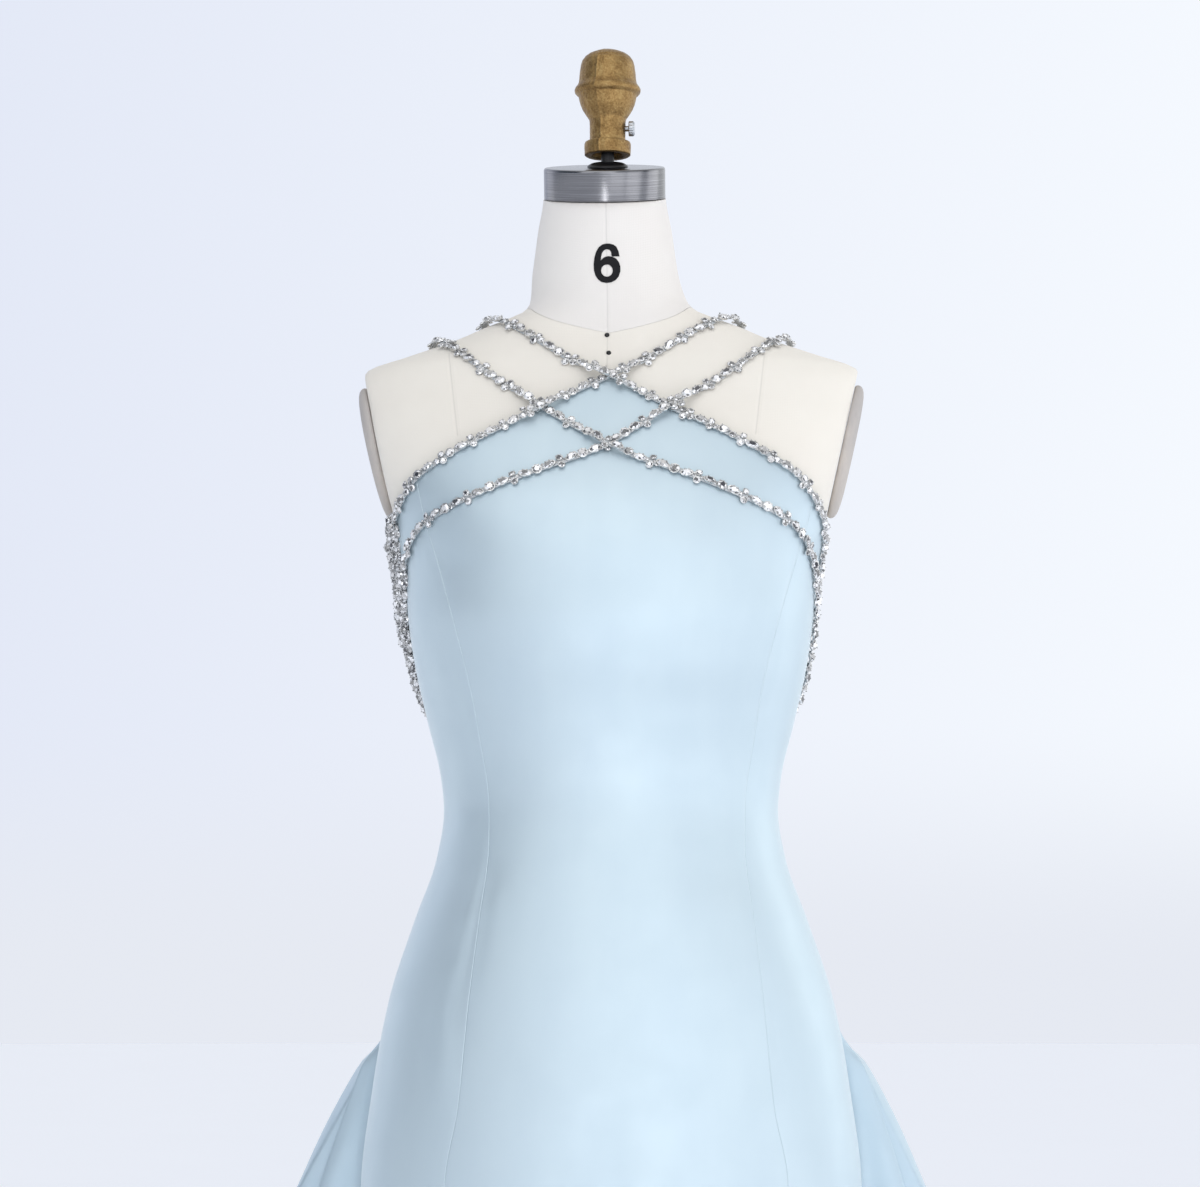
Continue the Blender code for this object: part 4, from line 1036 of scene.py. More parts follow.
@dataclass
class Overskirt:
    """The overskirt: four gores from the hip seam to the train."""

    gown: Gown
    start_angle: float = 99.0
    waves: float = 4.5
    calm: float = 0.25
    seat: float = 0.0019
    lift: float = 0.0006
    cloth: float = 0.0011
    rows: int = 176
    seam_gap: float = 0.00012
    seam_gap_wave: float = 0.001
    seam_roll: float = 0.0007
    edge_steps: tuple[float, ...] = (0.0, 0.0008, 0.0018, 0.0036, 0.0075)
    tables: list[Table] = field(init=False)

    def __post_init__(self) -> None:
        """Read the columns of the overskirt's levels."""
        self.tables = [Table.column(OVERSKIRT_ROWS, i) for i in range(1, 5)]

    def points(self, share: Array, height: Array, side: int) -> tuple[Array, Array]:
        """Points of the overskirt's outer face.

        Args:
            share: 0 at the side seam to 1 at the back.
            height: The level's height at the side seam.
            side: +1 or -1.

        Returns:
            The points and which way the cloth faces.
        """
        half_width, back_height, back_reach, wave = (table.at(height) for table in self.tables)
        fall = height - OVERSKIRT_ROWS[-1][0]
        out = (self.gown.ease + self.gown.wall + self.seat + self.lift * smooth_step(fall / -0.03)
               + 0.002 * smooth_step(fall / -0.3))
        angle = np.full_like(height, self.start_angle)
        start = self.gown.skin(angle, height, out)
        reach = np.maximum(half_width, start[..., 0])
        power = 2.0 + 0.25 * smooth_step((height - 0.4) / 0.4)
        turn_start = np.arccos(np.minimum(start[..., 0] / reach, 1.0) ** (power / 2.0))
        front_depth = 0.42 * (reach - start[..., 0]) + 0.004
        centre_y = start[..., 1] + front_depth * np.sin(turn_start) ** (2.0 / power)
        turn = -turn_start + (math.pi / 2 + turn_start) * share
        x = np.where(share < 1.0, reach * np.abs(np.cos(turn)) ** (2.0 / power), 0.0)
        depth = np.where(turn < 0.0, front_depth, back_reach + out - centre_y)
        y = centre_y + np.copysign(depth * np.abs(np.sin(turn)) ** (2.0 / power), turn)
        level = height + (back_height - height) * smooth_step(share * 1.1 - 0.1)
        phase = math.pi * (2.0 * self.waves * share + 1.0)
        belly = np.sin(math.pi * share)
        uneven = belly * (0.55 * np.sin(5.0 * share + 0.9 * side) + 0.35 * np.sin(11.0 * share + side))
        depths = 1.0 + 0.28 * belly * np.sin(8.0 * share + 1.3 * side)
        folds = wave * smooth_step(share / self.calm) * depths * np.cos(phase + uneven)
        outward = np.stack([np.cos(turn), np.sin(turn), np.zeros_like(turn)], -1)
        free = np.stack([x, y, level], -1) + outward * folds[..., None]
        seated = self.gown.skin(self.start_angle + (180.0 - self.start_angle) * share, level, out)
        made = free + (seated - free) * smooth_step(1.0 + fall / 0.055)[..., None]
        made[..., 0] = np.where(share >= 1.0, 0.0, made[..., 0]) * side
        outward[..., 0] *= side
        return made, outward

    def creases(self, side: int) -> tuple[Crease, ...]:
        """The creases of one side, by share and height, different on the two sides."""
        rng = np.random.default_rng(40 + side)
        made = []
        for share in (0.1, 0.19, 0.27, 0.36, 0.45, 0.55, 0.63, 0.74, 0.83, 0.92):
            share += rng.uniform(-0.02, 0.02)
            top = rng.uniform(0.55, 0.84)
            bottom = top - rng.uniform(0.22, 0.5)
            drift = rng.uniform(-0.03, 0.03)
            line = ((share, top), (share + drift * 0.6, (top + bottom) / 2), (share + drift, bottom))
            height = rng.choice([-1.0, 1.0]) * rng.uniform(0.0018, 0.0042)
            made.append(Crease(line, height, rng.uniform(0.012, 0.022)))
        return (*made, Crease(((0.02, 0.915), (0.05, 0.85), (0.09, 0.77), (0.12, 0.69)), 0.0034, 0.011),
                Crease(((0.005, 0.88), (0.02, 0.8), (0.035, 0.71)), -0.003, 0.01),
                Crease(((0.11, 0.915), (0.14, 0.85), (0.18, 0.76)), -0.0026, 0.012))

    def gore_points(self, gore: Gore, side: int) -> Array:
        """The outer face of a gore: rows, columns, coordinates, columns to +share."""
        heights = np.linspace(OVERSKIRT_ROWS[0][0], OVERSKIRT_ROWS[-1][0], self.rows)
        heights = np.sort(np.concatenate([heights, OVERSKIRT_ROWS[0][0] + np.array([0.0007, 0.0016, 0.0028])]))
        share = np.linspace(gore.start, gore.end, gore.columns + 2)
        share, height = np.meshgrid(share, heights)
        coarse, _ = self.points(share, height, side)
        pitch_low = np.linalg.norm(coarse[:, 1] - coarse[:, 0], axis=-1)[:, None]
        pitch_high = np.linalg.norm(coarse[:, -1] - coarse[:, -2], axis=-1)[:, None]
        step = (gore.end - gore.start) / (gore.columns + 1)
        flare = self.tables[3].at(heights)[:, None] / self.tables[3].values.max()
        gap = (self.seam_gap + self.seam_gap_wave * flare) / 2.0
        steps = np.array(self.edge_steps)
        low = gore.start + (gap + steps) / pitch_low * step
        high = gore.end - (gap + steps[::-1]) / pitch_high * step
        inner = low[:, -1:] + (high[:, :1] - low[:, -1:]) * np.linspace(0.0, 1.0, gore.columns + 2)[1:-1]
        share = np.concatenate([low, inner, high], axis=1)
        height = np.broadcast_to(heights[:, None], share.shape)
        made, outward = self.points(share, height, side)
        lift = crease_relief(made, self.creases(side),
                             lambda line: self.points(line[:, 0], line[:, 1], side)[0])
        distance = seam_distance(self.edge_steps, gore.columns)
        lift *= 1.0 - 0.8 * np.exp(-(distance / 0.006) ** 2)
        lift *= smooth_step((OVERSKIRT_ROWS[-1][0] - height) / 0.06)
        lift -= self.seam_roll * np.exp(-(distance / 0.0018) ** 2)
        return made + outward * lift[..., None]

    def build(self) -> None:
        """Make the four gores."""
        for side, hand in ((1, "right"), (-1, "left")):
            for gore in GORES:
                points = self.gore_points(gore, side)
                if side < 0:
                    points = points[:, ::-1]
                name = f"overskirt_{gore.word}_{hand}"
                mesh = finish_mesh(grid_mesh(name, points, cloth_uv(points)), 60.0)
                made = piece(name + "_satin", mesh, Finish.OVERSKIRT, replaces=[name])
                add_wall(made, self.cloth)


# Beaded trims

class Cut(Enum):
    """The stones' cuts, numbered in the order of their shapes' names."""

    CHIP = 0
    MARQUISE = 1
    PEAR = 2
    ROUND = 3


@dataclass(frozen=True)
class Gem:
    """A stone of a motif: cut, half length, place along and across the trim, and turn in degrees."""

    cut: Cut
    size: float
    along: float
    across: float
    turn: float = 0.0


class Motif(Enum):
    """Small groups of stones, each with the length of trim that it takes."""

    ROUND = (0.0094, (Gem(Cut.ROUND, 0.0039, 0.0047, 0.0),))
    SMALL_ROUND = (0.0076, (Gem(Cut.ROUND, 0.0031, 0.0038, 0.0002),))
    OVAL = (0.0112, (Gem(Cut.MARQUISE, 0.0052, 0.0056, 0.0, 6.0),))
    LEANING_OVAL = (0.011, (Gem(Cut.MARQUISE, 0.0051, 0.0055, 0.0004, -18.0),))
    PAIR = (0.008, (Gem(Cut.ROUND, 0.0028, 0.004, 0.0037), Gem(Cut.ROUND, 0.0028, 0.0042, -0.0037),
                     Gem(Cut.CHIP, 0.0013, 0.0009, 0.0), Gem(Cut.CHIP, 0.0013, 0.0073, 0.0)))
    FLOWER = (0.014, (Gem(Cut.ROUND, 0.0017, 0.007, 0.0),) + tuple(
        Gem(Cut.ROUND, 0.0027, 0.007 + 0.0045 * math.cos(0.4 + i * math.pi / 2.0),
            0.0045 * math.sin(0.4 + i * math.pi / 2.0)) for i in range(4)))
    TRIO = (0.0104, (Gem(Cut.ROUND, 0.0027, 0.003, -0.0029), Gem(Cut.ROUND, 0.0027, 0.0032, 0.0031),
                     Gem(Cut.ROUND, 0.0027, 0.0077, 0.0006)))
    PEAR = (0.0094, (Gem(Cut.PEAR, 0.0044, 0.0047, 0.0004, 14.0),))


UPPER_ORDER = (Motif.ROUND, Motif.FLOWER, Motif.OVAL, Motif.TRIO, Motif.PEAR, Motif.SMALL_ROUND, Motif.PAIR,
               Motif.LEANING_OVAL, Motif.ROUND, Motif.TRIO, Motif.OVAL)
LOWER_ORDER = (Motif.PAIR, Motif.OVAL, Motif.ROUND, Motif.LEANING_OVAL)


class Stone(NamedTuple):
    """A set stone: cut, half length, distance along its trim, across it, turn in degrees and layer."""

    cut: Cut
    size: float
    along: float
    across: float
    turn: float
    layer: int

    def reach(self) -> float:
        """How far it keeps small stones away."""
        return self.size * (0.76 if self.cut in (Cut.MARQUISE, Cut.PEAR) else 1.0)


@dataclass(frozen=True)
class Route:
    """A trim's middle line: distance, foot on the figure, facing, across and along."""

    stops: Array
    feet: Array
    normals: Array
    across: Array
    along: Array

    def read(self, at: Array, values: Array) -> Array:
        """Values of the route at distances along it."""
        return np.stack([np.interp(at, self.stops, values[:, i]) for i in range(values.shape[1])], -1)


@dataclass
class BeadedTrims:
    """Four beaded trims, two from each shoulder, that cross on the chest."""

    gown: Gown
    seat_on_form: float = 0.0008
    seat_on_gown: float = 0.0013
    tape_width: float = 0.0042
    tape_thick: float = 0.0009
    crossing_reach: float = 0.026
    crossing_flat: float = 0.01
    crossing_lift: float = 0.0034
    side_crossing: Pair = (0.0495, 1.3775)
    chips_per_metre: float = 120.0
    abreast: float = 0.0051
    strap_size: float = 1.0
    gown_size: float = 0.92
    layer_rise: float = 0.0027
    crest_lift: float = 0.0032
    crest_reach: float = 0.026
    side_facing: float = 0.9
    heaped: float = 0.42
    tree: BVHTree = field(init=False)
    upper_strap: tuple[tuple[str, float, float], ...] = (
        ("back", 0.0716, 1.1475), ("back", 0.075, 1.23), ("back", 0.081, 1.33), ("back", 0.088, 1.41),
        ("above", 0.099, 0.018), ("front", 0.0735, 1.4515), ("front", 0.047, 1.4335), ("front", 0.0206, 1.4155))
    lower_strap: tuple[tuple[str, float, float], ...] = (
        ("back", 0.1063, 1.1675), ("back", 0.112, 1.245), ("back", 0.121, 1.33), ("back", 0.129, 1.4),
        ("above", 0.138, 0.014), ("front", 0.115, 1.43), ("front", 0.0915, 1.4105), ("front", 0.069, 1.394),
        ("front", 0.053, 1.381), ("front", 0.037, 1.37), ("front", 0.018, 1.358))
    angles: tuple[float, ...] = (0.0, 4.5, 11.0, 19.0, 28.0, 38.0, 48.0, 58.0, 68.0, 78.0, 86.0, 94.0, 103.0,
                                 115.0, 128.0, 142.0, 157.0, 169.0, 179.7)
    side_band: Pair = (72.0, 112.0)
    end_gap: float = 0.003
    tape_step: float = 0.003
    first_seed: int = 4

    def __post_init__(self) -> None:
        """Make a fine copy of the figure's surface to lay the trims on."""
        angle, height = np.meshgrid(np.arange(-180.0, 180.0, 2.0), np.arange(1.02, 1.49, 0.0025))
        points = FIGURE.point(angle, height).reshape(-1, 3)
        self.tree = BVHTree.FromPolygons(points.tolist(), tube_faces(*angle.shape).tolist())

    def strap_place(self, seen_from: str, across: float, other: float) -> Vector:
        """Where a strap's point lies on the figure."""
        start, ray = {"above": ((across, other, 2.0), (0, 0, -1)), "front": ((across, -1.0, other), (0, 1, 0)),
                      "back": ((across, 1.0, other), (0, -1, 0))}[seen_from]
        return self.tree.ray_cast(Vector(start), Vector(ray))[0]

    def route(self, strap: Sequence[tuple[str, float, float]], line: Table, side: int) -> Route:
        """Lay a trim from the back over its shoulder and round the other side.

        Args:
            strap: The strap's points.
            line: The line that it follows round the gown.
            side: The shoulder, +1 or -1.

        Returns:
            The route.
        """
        points = [self.strap_place(seen, across * side, other) for seen, across, other in strap]
        points += [Vector(FIGURE.point(-side * angle, line.at(angle)).tolist()) for angle in self.angles]
        knots = np.array([tuple(point) for point in points])
        before = np.concatenate([knots[:1], knots[:-1]])
        after = np.concatenate([knots[1:], knots[-1:]])
        fine = []
        for i in range(len(knots) - 1):
            a, b, c, d = before[i], knots[i], knots[i + 1], after[i + 1]
            t = np.linspace(0.0, 1.0, max(1, math.ceil(np.linalg.norm(c - b) / 0.0016)), endpoint=False)[:, None]
            fine.append(0.5 * (2 * b + (c - a) * t + (2 * a - 5 * b + 4 * c - d) * t ** 2
                               + (3 * b - a - 3 * c + d) * t ** 3))
        path = np.concatenate(fine + [knots[-1:]])
        feet, normals = [], []
        for point in path:
            foot, normal, _, _ = self.tree.find_nearest(Vector(point.tolist()))
            feet.append(tuple(foot))
            normals.append(tuple(normal))
        feet, normals = np.array(feet), np.array(normals)
        kernel = np.hanning(9)[1:-1]
        kernel /= kernel.sum()
        pad = len(kernel) // 2
        soft = np.pad(normals, ((pad, pad), (0, 0)), mode="edge")
        normals = unit(np.stack([np.convolve(soft[:, i], kernel, mode="valid") for i in range(3)], -1))
        along = unit(np.gradient(feet, axis=0))
        across = unit(np.cross(normals, along)) * side
        stops = np.concatenate([[0.0], np.cumsum(np.linalg.norm(np.diff(path, axis=0), axis=1))])
        return Route(stops, feet, normals, across, along)

    def distance_along(self, route: Route, x: float, z: float) -> float:
        """How far along a route its nearest point to a place, seen from the front, lies."""
        gap = np.hypot(route.feet[:, 0] - x, route.feet[:, 2] - z) + (route.feet[:, 1] > 0.0)
        return float(route.stops[gap.argmin()])

    def seat(self, at: Array, on_gown_from: float, over: float, crest: float) -> Array:
        """The height of a trim's underside above the figure.

        Args:
            at: Distances along the trim.
            on_gown_from: Where it comes onto the gown.
            over: Where it crosses over another trim.
            crest: Where it goes over the shoulder.

        Returns:
            A height for each distance.
        """
        climb = smooth_step((at - (on_gown_from - 0.038)) / 0.024)
        on_gown = self.gown.ease + self.gown.wall + self.seat_on_gown
        seat = self.seat_on_form + (on_gown - self.seat_on_form) * climb
        beside = (np.abs(at - over) - self.crossing_flat) / (self.crossing_reach - self.crossing_flat)
        bridge = self.crest_lift * np.exp(-((at - crest) / self.crest_reach) ** 2)
        return seat + bridge + self.crossing_lift * (1.0 - smooth_step(beside))

    def tape_mesh(self, name: str, route: Route, seat: Callable[[Array], Array]) -> Mesh:
        """The woven tape along a route.

        Args:
            name: The mesh's name.
            route: The route.
            seat: The height of the underside at distances.

        Returns:
            The mesh.
        """
        half, thick = self.tape_width / 2.0, self.tape_thick
        section = np.array([(-half, 0.0), (half, 0.0), (half + 0.0003, thick * 0.5), (half - 0.0002, thick * 0.9),
                            (0.0, thick), (-half + 0.0002, thick * 0.9), (-half - 0.0003, thick * 0.5)])
        at = np.linspace(0.0002, route.stops[-1] - 0.0002, round(route.stops[-1] / self.tape_step))
        foot, normal = route.read(at, route.feet), unit(route.read(at, route.normals))
        across = unit(route.read(at, route.across))
        up = (seat(at)[:, None] + section[:, 1])[..., None]
        mesh = ring_mesh(name, foot[:, None] + across[:, None] * section[:, :1] + normal[:, None] * up)
        face_outwards(mesh)
        layer = mesh.uv_layers.new(name="cloth")
        where = np.zeros(len(mesh.loops), dtype=np.int32)
        mesh.loops.foreach_get("vertex_index", where)
        count = len(section)
        place = np.minimum(where, len(at) * count - 1)
        uv = np.stack([section[place % count].sum(1), at[place // count]], -1)
        layer.data.foreach_set("uv", uv.ravel().astype(np.float32))
        return finish_mesh(mesh, 50.0)

    def heap(self, rng: np.random.Generator, at: float, shift: float, tall: bool) -> list[Stone]:
        """Stones that lie three abreast with more on top.

        Args:
            rng: The source of small differences.
            at: The distance along the trim.
            shift: How far they all lie to one side.
            tall: Whether a third layer lies on them.

        Returns:
            The stones.
        """
        wide, close = self.abreast, self.abreast * 0.55
        places = [(-wide, 0), (0.0, 0), (wide, 0), (-close, 1), (close, 1)]
        if tall:
            places.append((rng.uniform(-0.35, 0.35) * wide, 2))
        return [Stone(Cut.ROUND, rng.uniform(0.0026, 0.0033) + 0.0002 * level,
                      at + 0.0027 + rng.normal(0.0, 0.0005), across + shift + rng.normal(0.0, 0.0003),
                      rng.uniform(0.0, 360.0), level)
                for across, level in places]

    def layout(self, route: Route, on_gown: float, lower: bool, dense: Pair,
               seed: int) -> list[Stone]:
        """Places of the stones along a trim.

        Args:
            route: The route.
            on_gown: Where the trim comes onto the gown.
            lower: Whether the gown's part has the lower trims' plainer order.
            dense: The stretch where stones are heaped.
            seed: Fixes the small differences.

        Returns:
            The stones.
        """
        rng = np.random.default_rng(seed)
        made: list[Stone] = []
        at, turn = self.end_gap, 0
        end = route.stops[-1] - self.end_gap
        while at < end - 0.014:
            if dense[0] < at < dense[1]:
                tall = 0.12 < (at - dense[0]) / (dense[1] - dense[0]) < self.heaped
                made += self.heap(rng, at, 0.0012 * (-1) ** turn, tall)
                at += 0.0056
                turn += 1
                continue
            order = LOWER_ORDER if lower and at > on_gown else UPPER_ORDER
            length, gems = order[turn % len(order)].value
            flip = 1.0 if rng.random() < 0.5 else -1.0
            size = self.gown_size if at > on_gown else self.strap_size
            for gem in gems:
                made.append(Stone(gem.cut, size * gem.size * rng.uniform(0.94, 1.06),
                                  at + size * gem.along + rng.normal(0.0, 0.00015),
                                  size * gem.across * flip + rng.normal(0.0, 0.0002),
                                  gem.turn * flip + rng.normal(0.0, 4.0), 0))
            at += length * size
            turn += 1
        chips = int(self.chips_per_metre * route.stops[-1])
        where = rng.uniform(self.end_gap, end, chips * 6)
        across = rng.uniform(-1.0, 1.0, chips * 6) * self.tape_width * 0.55
        size = rng.uniform(0.0009, 0.0013, chips * 6)
        placed = np.array([(stone.along, stone.across, stone.reach()) for stone in made])
        target = len(made) + chips
        for chip in zip(where, across, size):
            gap = np.hypot(placed[:, 0] - chip[0], placed[:, 1] - chip[1])
            if len(made) < target and np.all(gap > 0.9 * (placed[:, 2] + chip[2])):
                made.append(Stone(Cut.CHIP, chip[2], chip[0], chip[1], rng.uniform(0.0, 360.0), 0))
                placed = np.concatenate([placed, [chip]])
        return made

    @staticmethod
    def stone_outline(cut: Cut) -> Array:
        """The girdle of a cut, one long from its middle."""
        sides = {Cut.CHIP: 6, Cut.ROUND: 8, Cut.MARQUISE: 10, Cut.PEAR: 9}[cut]
        turn = np.linspace(0.0, 2.0 * math.pi, sides, endpoint=False)
        x, y = np.cos(turn), np.sin(turn)
        if cut is Cut.MARQUISE:
            y = 0.6 * y * np.abs(y) ** 0.2
        if cut is Cut.PEAR:
            y = 0.74 * y * (1.0 - 0.45 * x)
        return np.stack([x, y], -1)

    def stone_mesh(self, cut: Cut) -> Mesh:
        """A cut stone that stands on the XY plane: table, crown, girdle and back."""
        girdle = self.stone_outline(cut)
        count = len(girdle)
        table = 0.56 * (girdle + np.roll(girdle, -1, axis=0)) / 2.0
        rings = ((table, 0.62), (girdle * 0.97, 0.3), (girdle * 0.86, 0.02))
        points = [(x, y, z) for ring, z in rings for x, y in ring.tolist()]
        faces: list[list[int]] = [list(range(count))]
        for i in range(count):
            j = (i + 1) % count
            faces.append([i, count + j, j])
            faces.append([i, count + i, count + j])
            faces.append([count + i, 2 * count + i, 2 * count + j, count + j])
        faces.append([2 * count + i for i in reversed(range(count))])
        return plain_mesh(f"stone {cut.value}", points, faces, flat=True)

    def cup_mesh(self, cut: Cut) -> Mesh:
        """A cup round a stone, with claws over its crown on all but the smallest."""
        girdle = self.stone_outline(cut)
        count = len(girdle)
        rings = ((girdle * 0.92, -0.06), (girdle * 1.13, 0.05), (girdle * 1.13, 0.31), (girdle * 0.98, 0.33))
        points = [(x, y, z) for ring, z in rings for x, y in ring.tolist()]
        faces = [list(reversed(range(count))), [3 * count + i for i in range(count)]]
        faces += tube_faces(len(rings), count).tolist()
        if cut is not Cut.CHIP:
            for turn in np.radians([45.0, 135.0, 225.0, 315.0]):
                off = np.exp(1j * (np.arctan2(girdle[:, 1], girdle[:, 0]) - turn))
                nearest = girdle[np.abs(np.angle(off)).argmin()]
                side = np.array([-nearest[1], nearest[0]]) / np.linalg.norm(nearest) * 0.1
                foot, tip = nearest * 1.14, nearest * 0.74
                first = len(points)
                points += [(*(foot - side), 0.28), (*(foot + side), 0.28), (*(foot + side * 0.6), 0.5),
                           (*(foot - side * 0.6), 0.5), (*tip, 0.56)]
                faces += [[first + i for i in face] for face in
                          ((0, 1, 2, 3), (3, 2, 4), (0, 3, 4), (1, 4, 2), (0, 4, 1))]
        return plain_mesh(f"cup {cut.value}", points, faces, flat=True)

    def shapes(self, make: Callable[[Cut], Mesh], name: str) -> bpy.types.Collection:
        """A collection of one shape for each cut, in the order of the cuts."""
        group = bpy.data.collections.new(name)
        for cut in sorted(Cut, key=lambda cut: cut.value):
            group.objects.link(bpy.data.objects.new(f"{name}_{cut.value}", make(cut)))
        return group

    def setting_tree(self) -> bpy.types.GeometryNodeTree:
        """The node tree that sets a stone and its cup at each point."""
        tree = bpy.data.node_groups.new("stone setting", "GeometryNodeTree")
        for name, kind in (("Points", "Geometry"), ("Stones", "Collection"), ("Cups", "Collection"),
                           ("Stone finish", "Material"), ("Cup finish", "Material"), ("Size", "Float"),
                           ("Tilt", "Float"), ("Seed", "Int")):
            tree.interface.new_socket(name, in_out="INPUT", socket_type="NodeSocket" + kind)
        tree.interface.new_socket("Trim", in_out="OUTPUT", socket_type="NodeSocketGeometry")
        add = partial(add_node, tree)
        given = add("NodeGroupInput", {}).outputs

        def stored(name: str, kind: str) -> Socket:
            """An attribute of the points."""
            return add("GeometryNodeInputNamedAttribute", {"Name": name}, data_type=kind).outputs["Attribute"]

        loose = add("FunctionNodeRandomValue", {0: (-1.0, -1.0, -1.0), 1: (1.0, 1.0, 1.0), "Seed": given["Seed"]},
                    data_type="FLOAT_VECTOR").outputs[0]
        loose = add("ShaderNodeVectorMath", {0: loose, "Scale": given["Tilt"]}, operation="SCALE").outputs[0]
        aim = add("ShaderNodeVectorMath", {0: stored("aim", "FLOAT_VECTOR"), 1: loose}, operation="ADD").outputs[0]
        stand = add("FunctionNodeAlignRotationToVector", {"Vector": aim}, axis="Z").outputs[0]
        along = stored("along", "FLOAT_VECTOR")
        turn = add("FunctionNodeAlignRotationToVector", {"Rotation": stand, "Vector": along}, axis="X",
                   pivot_axis="Z").outputs[0]
        size = add("ShaderNodeMath", {0: stored("size", "FLOAT"), 1: given["Size"]},
                   operation="MULTIPLY").outputs[0]
        join = add("GeometryNodeJoinGeometry", {})
        for source in ("Stones", "Cups"):
            shapes = add("GeometryNodeCollectionInfo", {"Collection": given[source], "Separate Children": True,
                                                        "Reset Children": True}).outputs[0]
            put = add("GeometryNodeInstanceOnPoints", {
                "Points": given["Points"], "Instance": shapes, "Pick Instance": True,
                "Instance Index": stored("cut", "INT"), "Rotation": turn, "Scale": size}).outputs[0]
            mark = add("GeometryNodeStoreNamedAttribute", {"Geometry": put, "Name": "is_stone",
                                                           "Value": source == "Stones"},
                       data_type="BOOLEAN", domain="INSTANCE").outputs[0]
            tree.links.new(mark, join.inputs[0])
        real = add("GeometryNodeRealizeInstances", {0: join.outputs[0]}).outputs[0]
        # painted glint: a random brightness for each facet of the stones
        glint = add("FunctionNodeRandomValue", {"Seed": given["Seed"]}, data_type="FLOAT").outputs[1]
        last = add("GeometryNodeStoreNamedAttribute", {"Geometry": real, "Name": "glint", "Value": glint},
                   data_type="FLOAT", domain="FACE").outputs[0]
        last = add("GeometryNodeSetMaterial", {"Geometry": last, "Material": given["Cup finish"]}).outputs[0]
        last = add("GeometryNodeSetMaterial", {"Geometry": last, "Selection": stored("is_stone", "BOOLEAN"),
                                               "Material": given["Stone finish"]}).outputs[0]
        add("NodeGroupOutput", {0: last})
        return tree

    def stones_mesh(self, name: str, places: dict[str, Array], groups: tuple[bpy.types.Collection, ...],
                    tree: bpy.types.GeometryNodeTree, seed: int) -> Mesh:
        """Set the stones of a trim as one plain mesh.

        Args:
            name: The mesh's name.
            places: Points with their cut, size, aim and along.
            groups: The shapes of stones and cups.
            tree: The node tree.
            seed: Fixes tilts and painted glints.

        Returns:
            The mesh.
        """
        cloud = plain_mesh(name + " points", places["point"].tolist())
        for key, kind in (("cut", "INT"), ("size", "FLOAT"), ("aim", "FLOAT_VECTOR"), ("along", "FLOAT_VECTOR")):
            layer = cloud.attributes.new(key, kind, "POINT")
            layer.data.foreach_set("vector" if kind == "FLOAT_VECTOR" else "value", places[key].ravel())
        carrier = linked(name + " points", cloud)
        setting = carrier.modifiers.new("setting", "NODES")
        setting.node_group = tree
        values = {"Stones": groups[0], "Cups": groups[1], "Stone finish": Finish.STONE.material(),
                  "Cup finish": Finish.CUP.material(), "Size": 1.0, "Tilt": 0.16, "Seed": seed}
        for socket in tree.interface.items_tree:
            if socket.in_out == "INPUT" and socket.name in values:
                setting[socket.identifier] = values[socket.name]
        mesh = evaluated(carrier)
        bpy.data.objects.remove(carrier, do_unlink=True)
        mesh.name = name
        return mesh

    def build_trim(self, name: str, side: int, seed: int, groups: tuple[bpy.types.Collection, ...],
                   tree: bpy.types.GeometryNodeTree) -> None:
        """Make the tape and the stones of one trim.

        Args:
            name: The trim's CAD node.
            side: Its shoulder, +1 or -1.
            seed: Fixes the small differences.
            groups: The shapes of stones and cups.
            tree: The node tree that sets them.
        """
        lower = name.startswith("lower")
        strap, rows = (self.lower_strap, LOWER_LINE_ROWS) if lower else (self.upper_strap, UPPER_LINE_ROWS)
        line = Table.column(rows, 1)
        route = self.route(strap, line, side)
        middle = self.distance_along(route, 0.0, float(line.at(0.0)))
        x, z = self.side_crossing
        own, far = (self.distance_along(route, x * way, z) for way in (side, -side))
        if lower:
            on_gown, over = own, own if side > 0 else middle
        else:
            on_gown, over = middle, middle if side < 0 else far
        crest = float(route.stops[route.feet[:, 2].argmax()])
        seat = partial(self.seat, on_gown_from=on_gown, over=over, crest=crest)
        piece(name + "_tape", self.tape_mesh(name + "_tape", route, seat), Finish.TAPE)

        turned = np.degrees(np.arctan2(np.abs(route.feet[:, 0]), -route.feet[:, 1]))
        low, high = self.side_band
        at_side = route.stops[(turned > low) & (turned < high) & (route.stops > middle)]
        dense = (float(at_side.min()), float(at_side.max()))
        cuts, *numbers = zip(*self.layout(route, on_gown, lower, dense if side > 0 else (0.0, 0.0), seed))
        size, at, across, spin, layer = (np.array(column, float) for column in numbers)
        spin = np.radians(spin)[:, None]
        normal, aside, along = (unit(route.read(at, way)) for way in (route.normals, route.across, route.along))
        share = smooth_step((at - dense[0] + 0.02) / 0.03) * smooth_step((dense[1] + 0.02 - at) / 0.03)
        beyond = np.maximum(np.abs(across) - self.tape_width / 2.0, 0.0)
        rise = seat(at) + self.tape_thick * 0.92 - 0.18 * beyond + self.layer_rise * layer
        facing = normal + aside * (across / 0.018)[:, None]
        facing[:, 1] -= self.side_facing * share
        places = {"point": route.read(at, route.feet) + aside * across[:, None] + normal * rise[:, None],
                  "cut": np.array([cut.value for cut in cuts], dtype=np.int32),
                  "size": size.astype(np.float32), "aim": facing.astype(np.float32),
                  "along": (along * np.cos(spin) + aside * np.sin(spin)).astype(np.float32)}
        piece(name + "_stones", self.stones_mesh(name + "_stones", places, groups, tree, seed), None,
              replaces=[name])

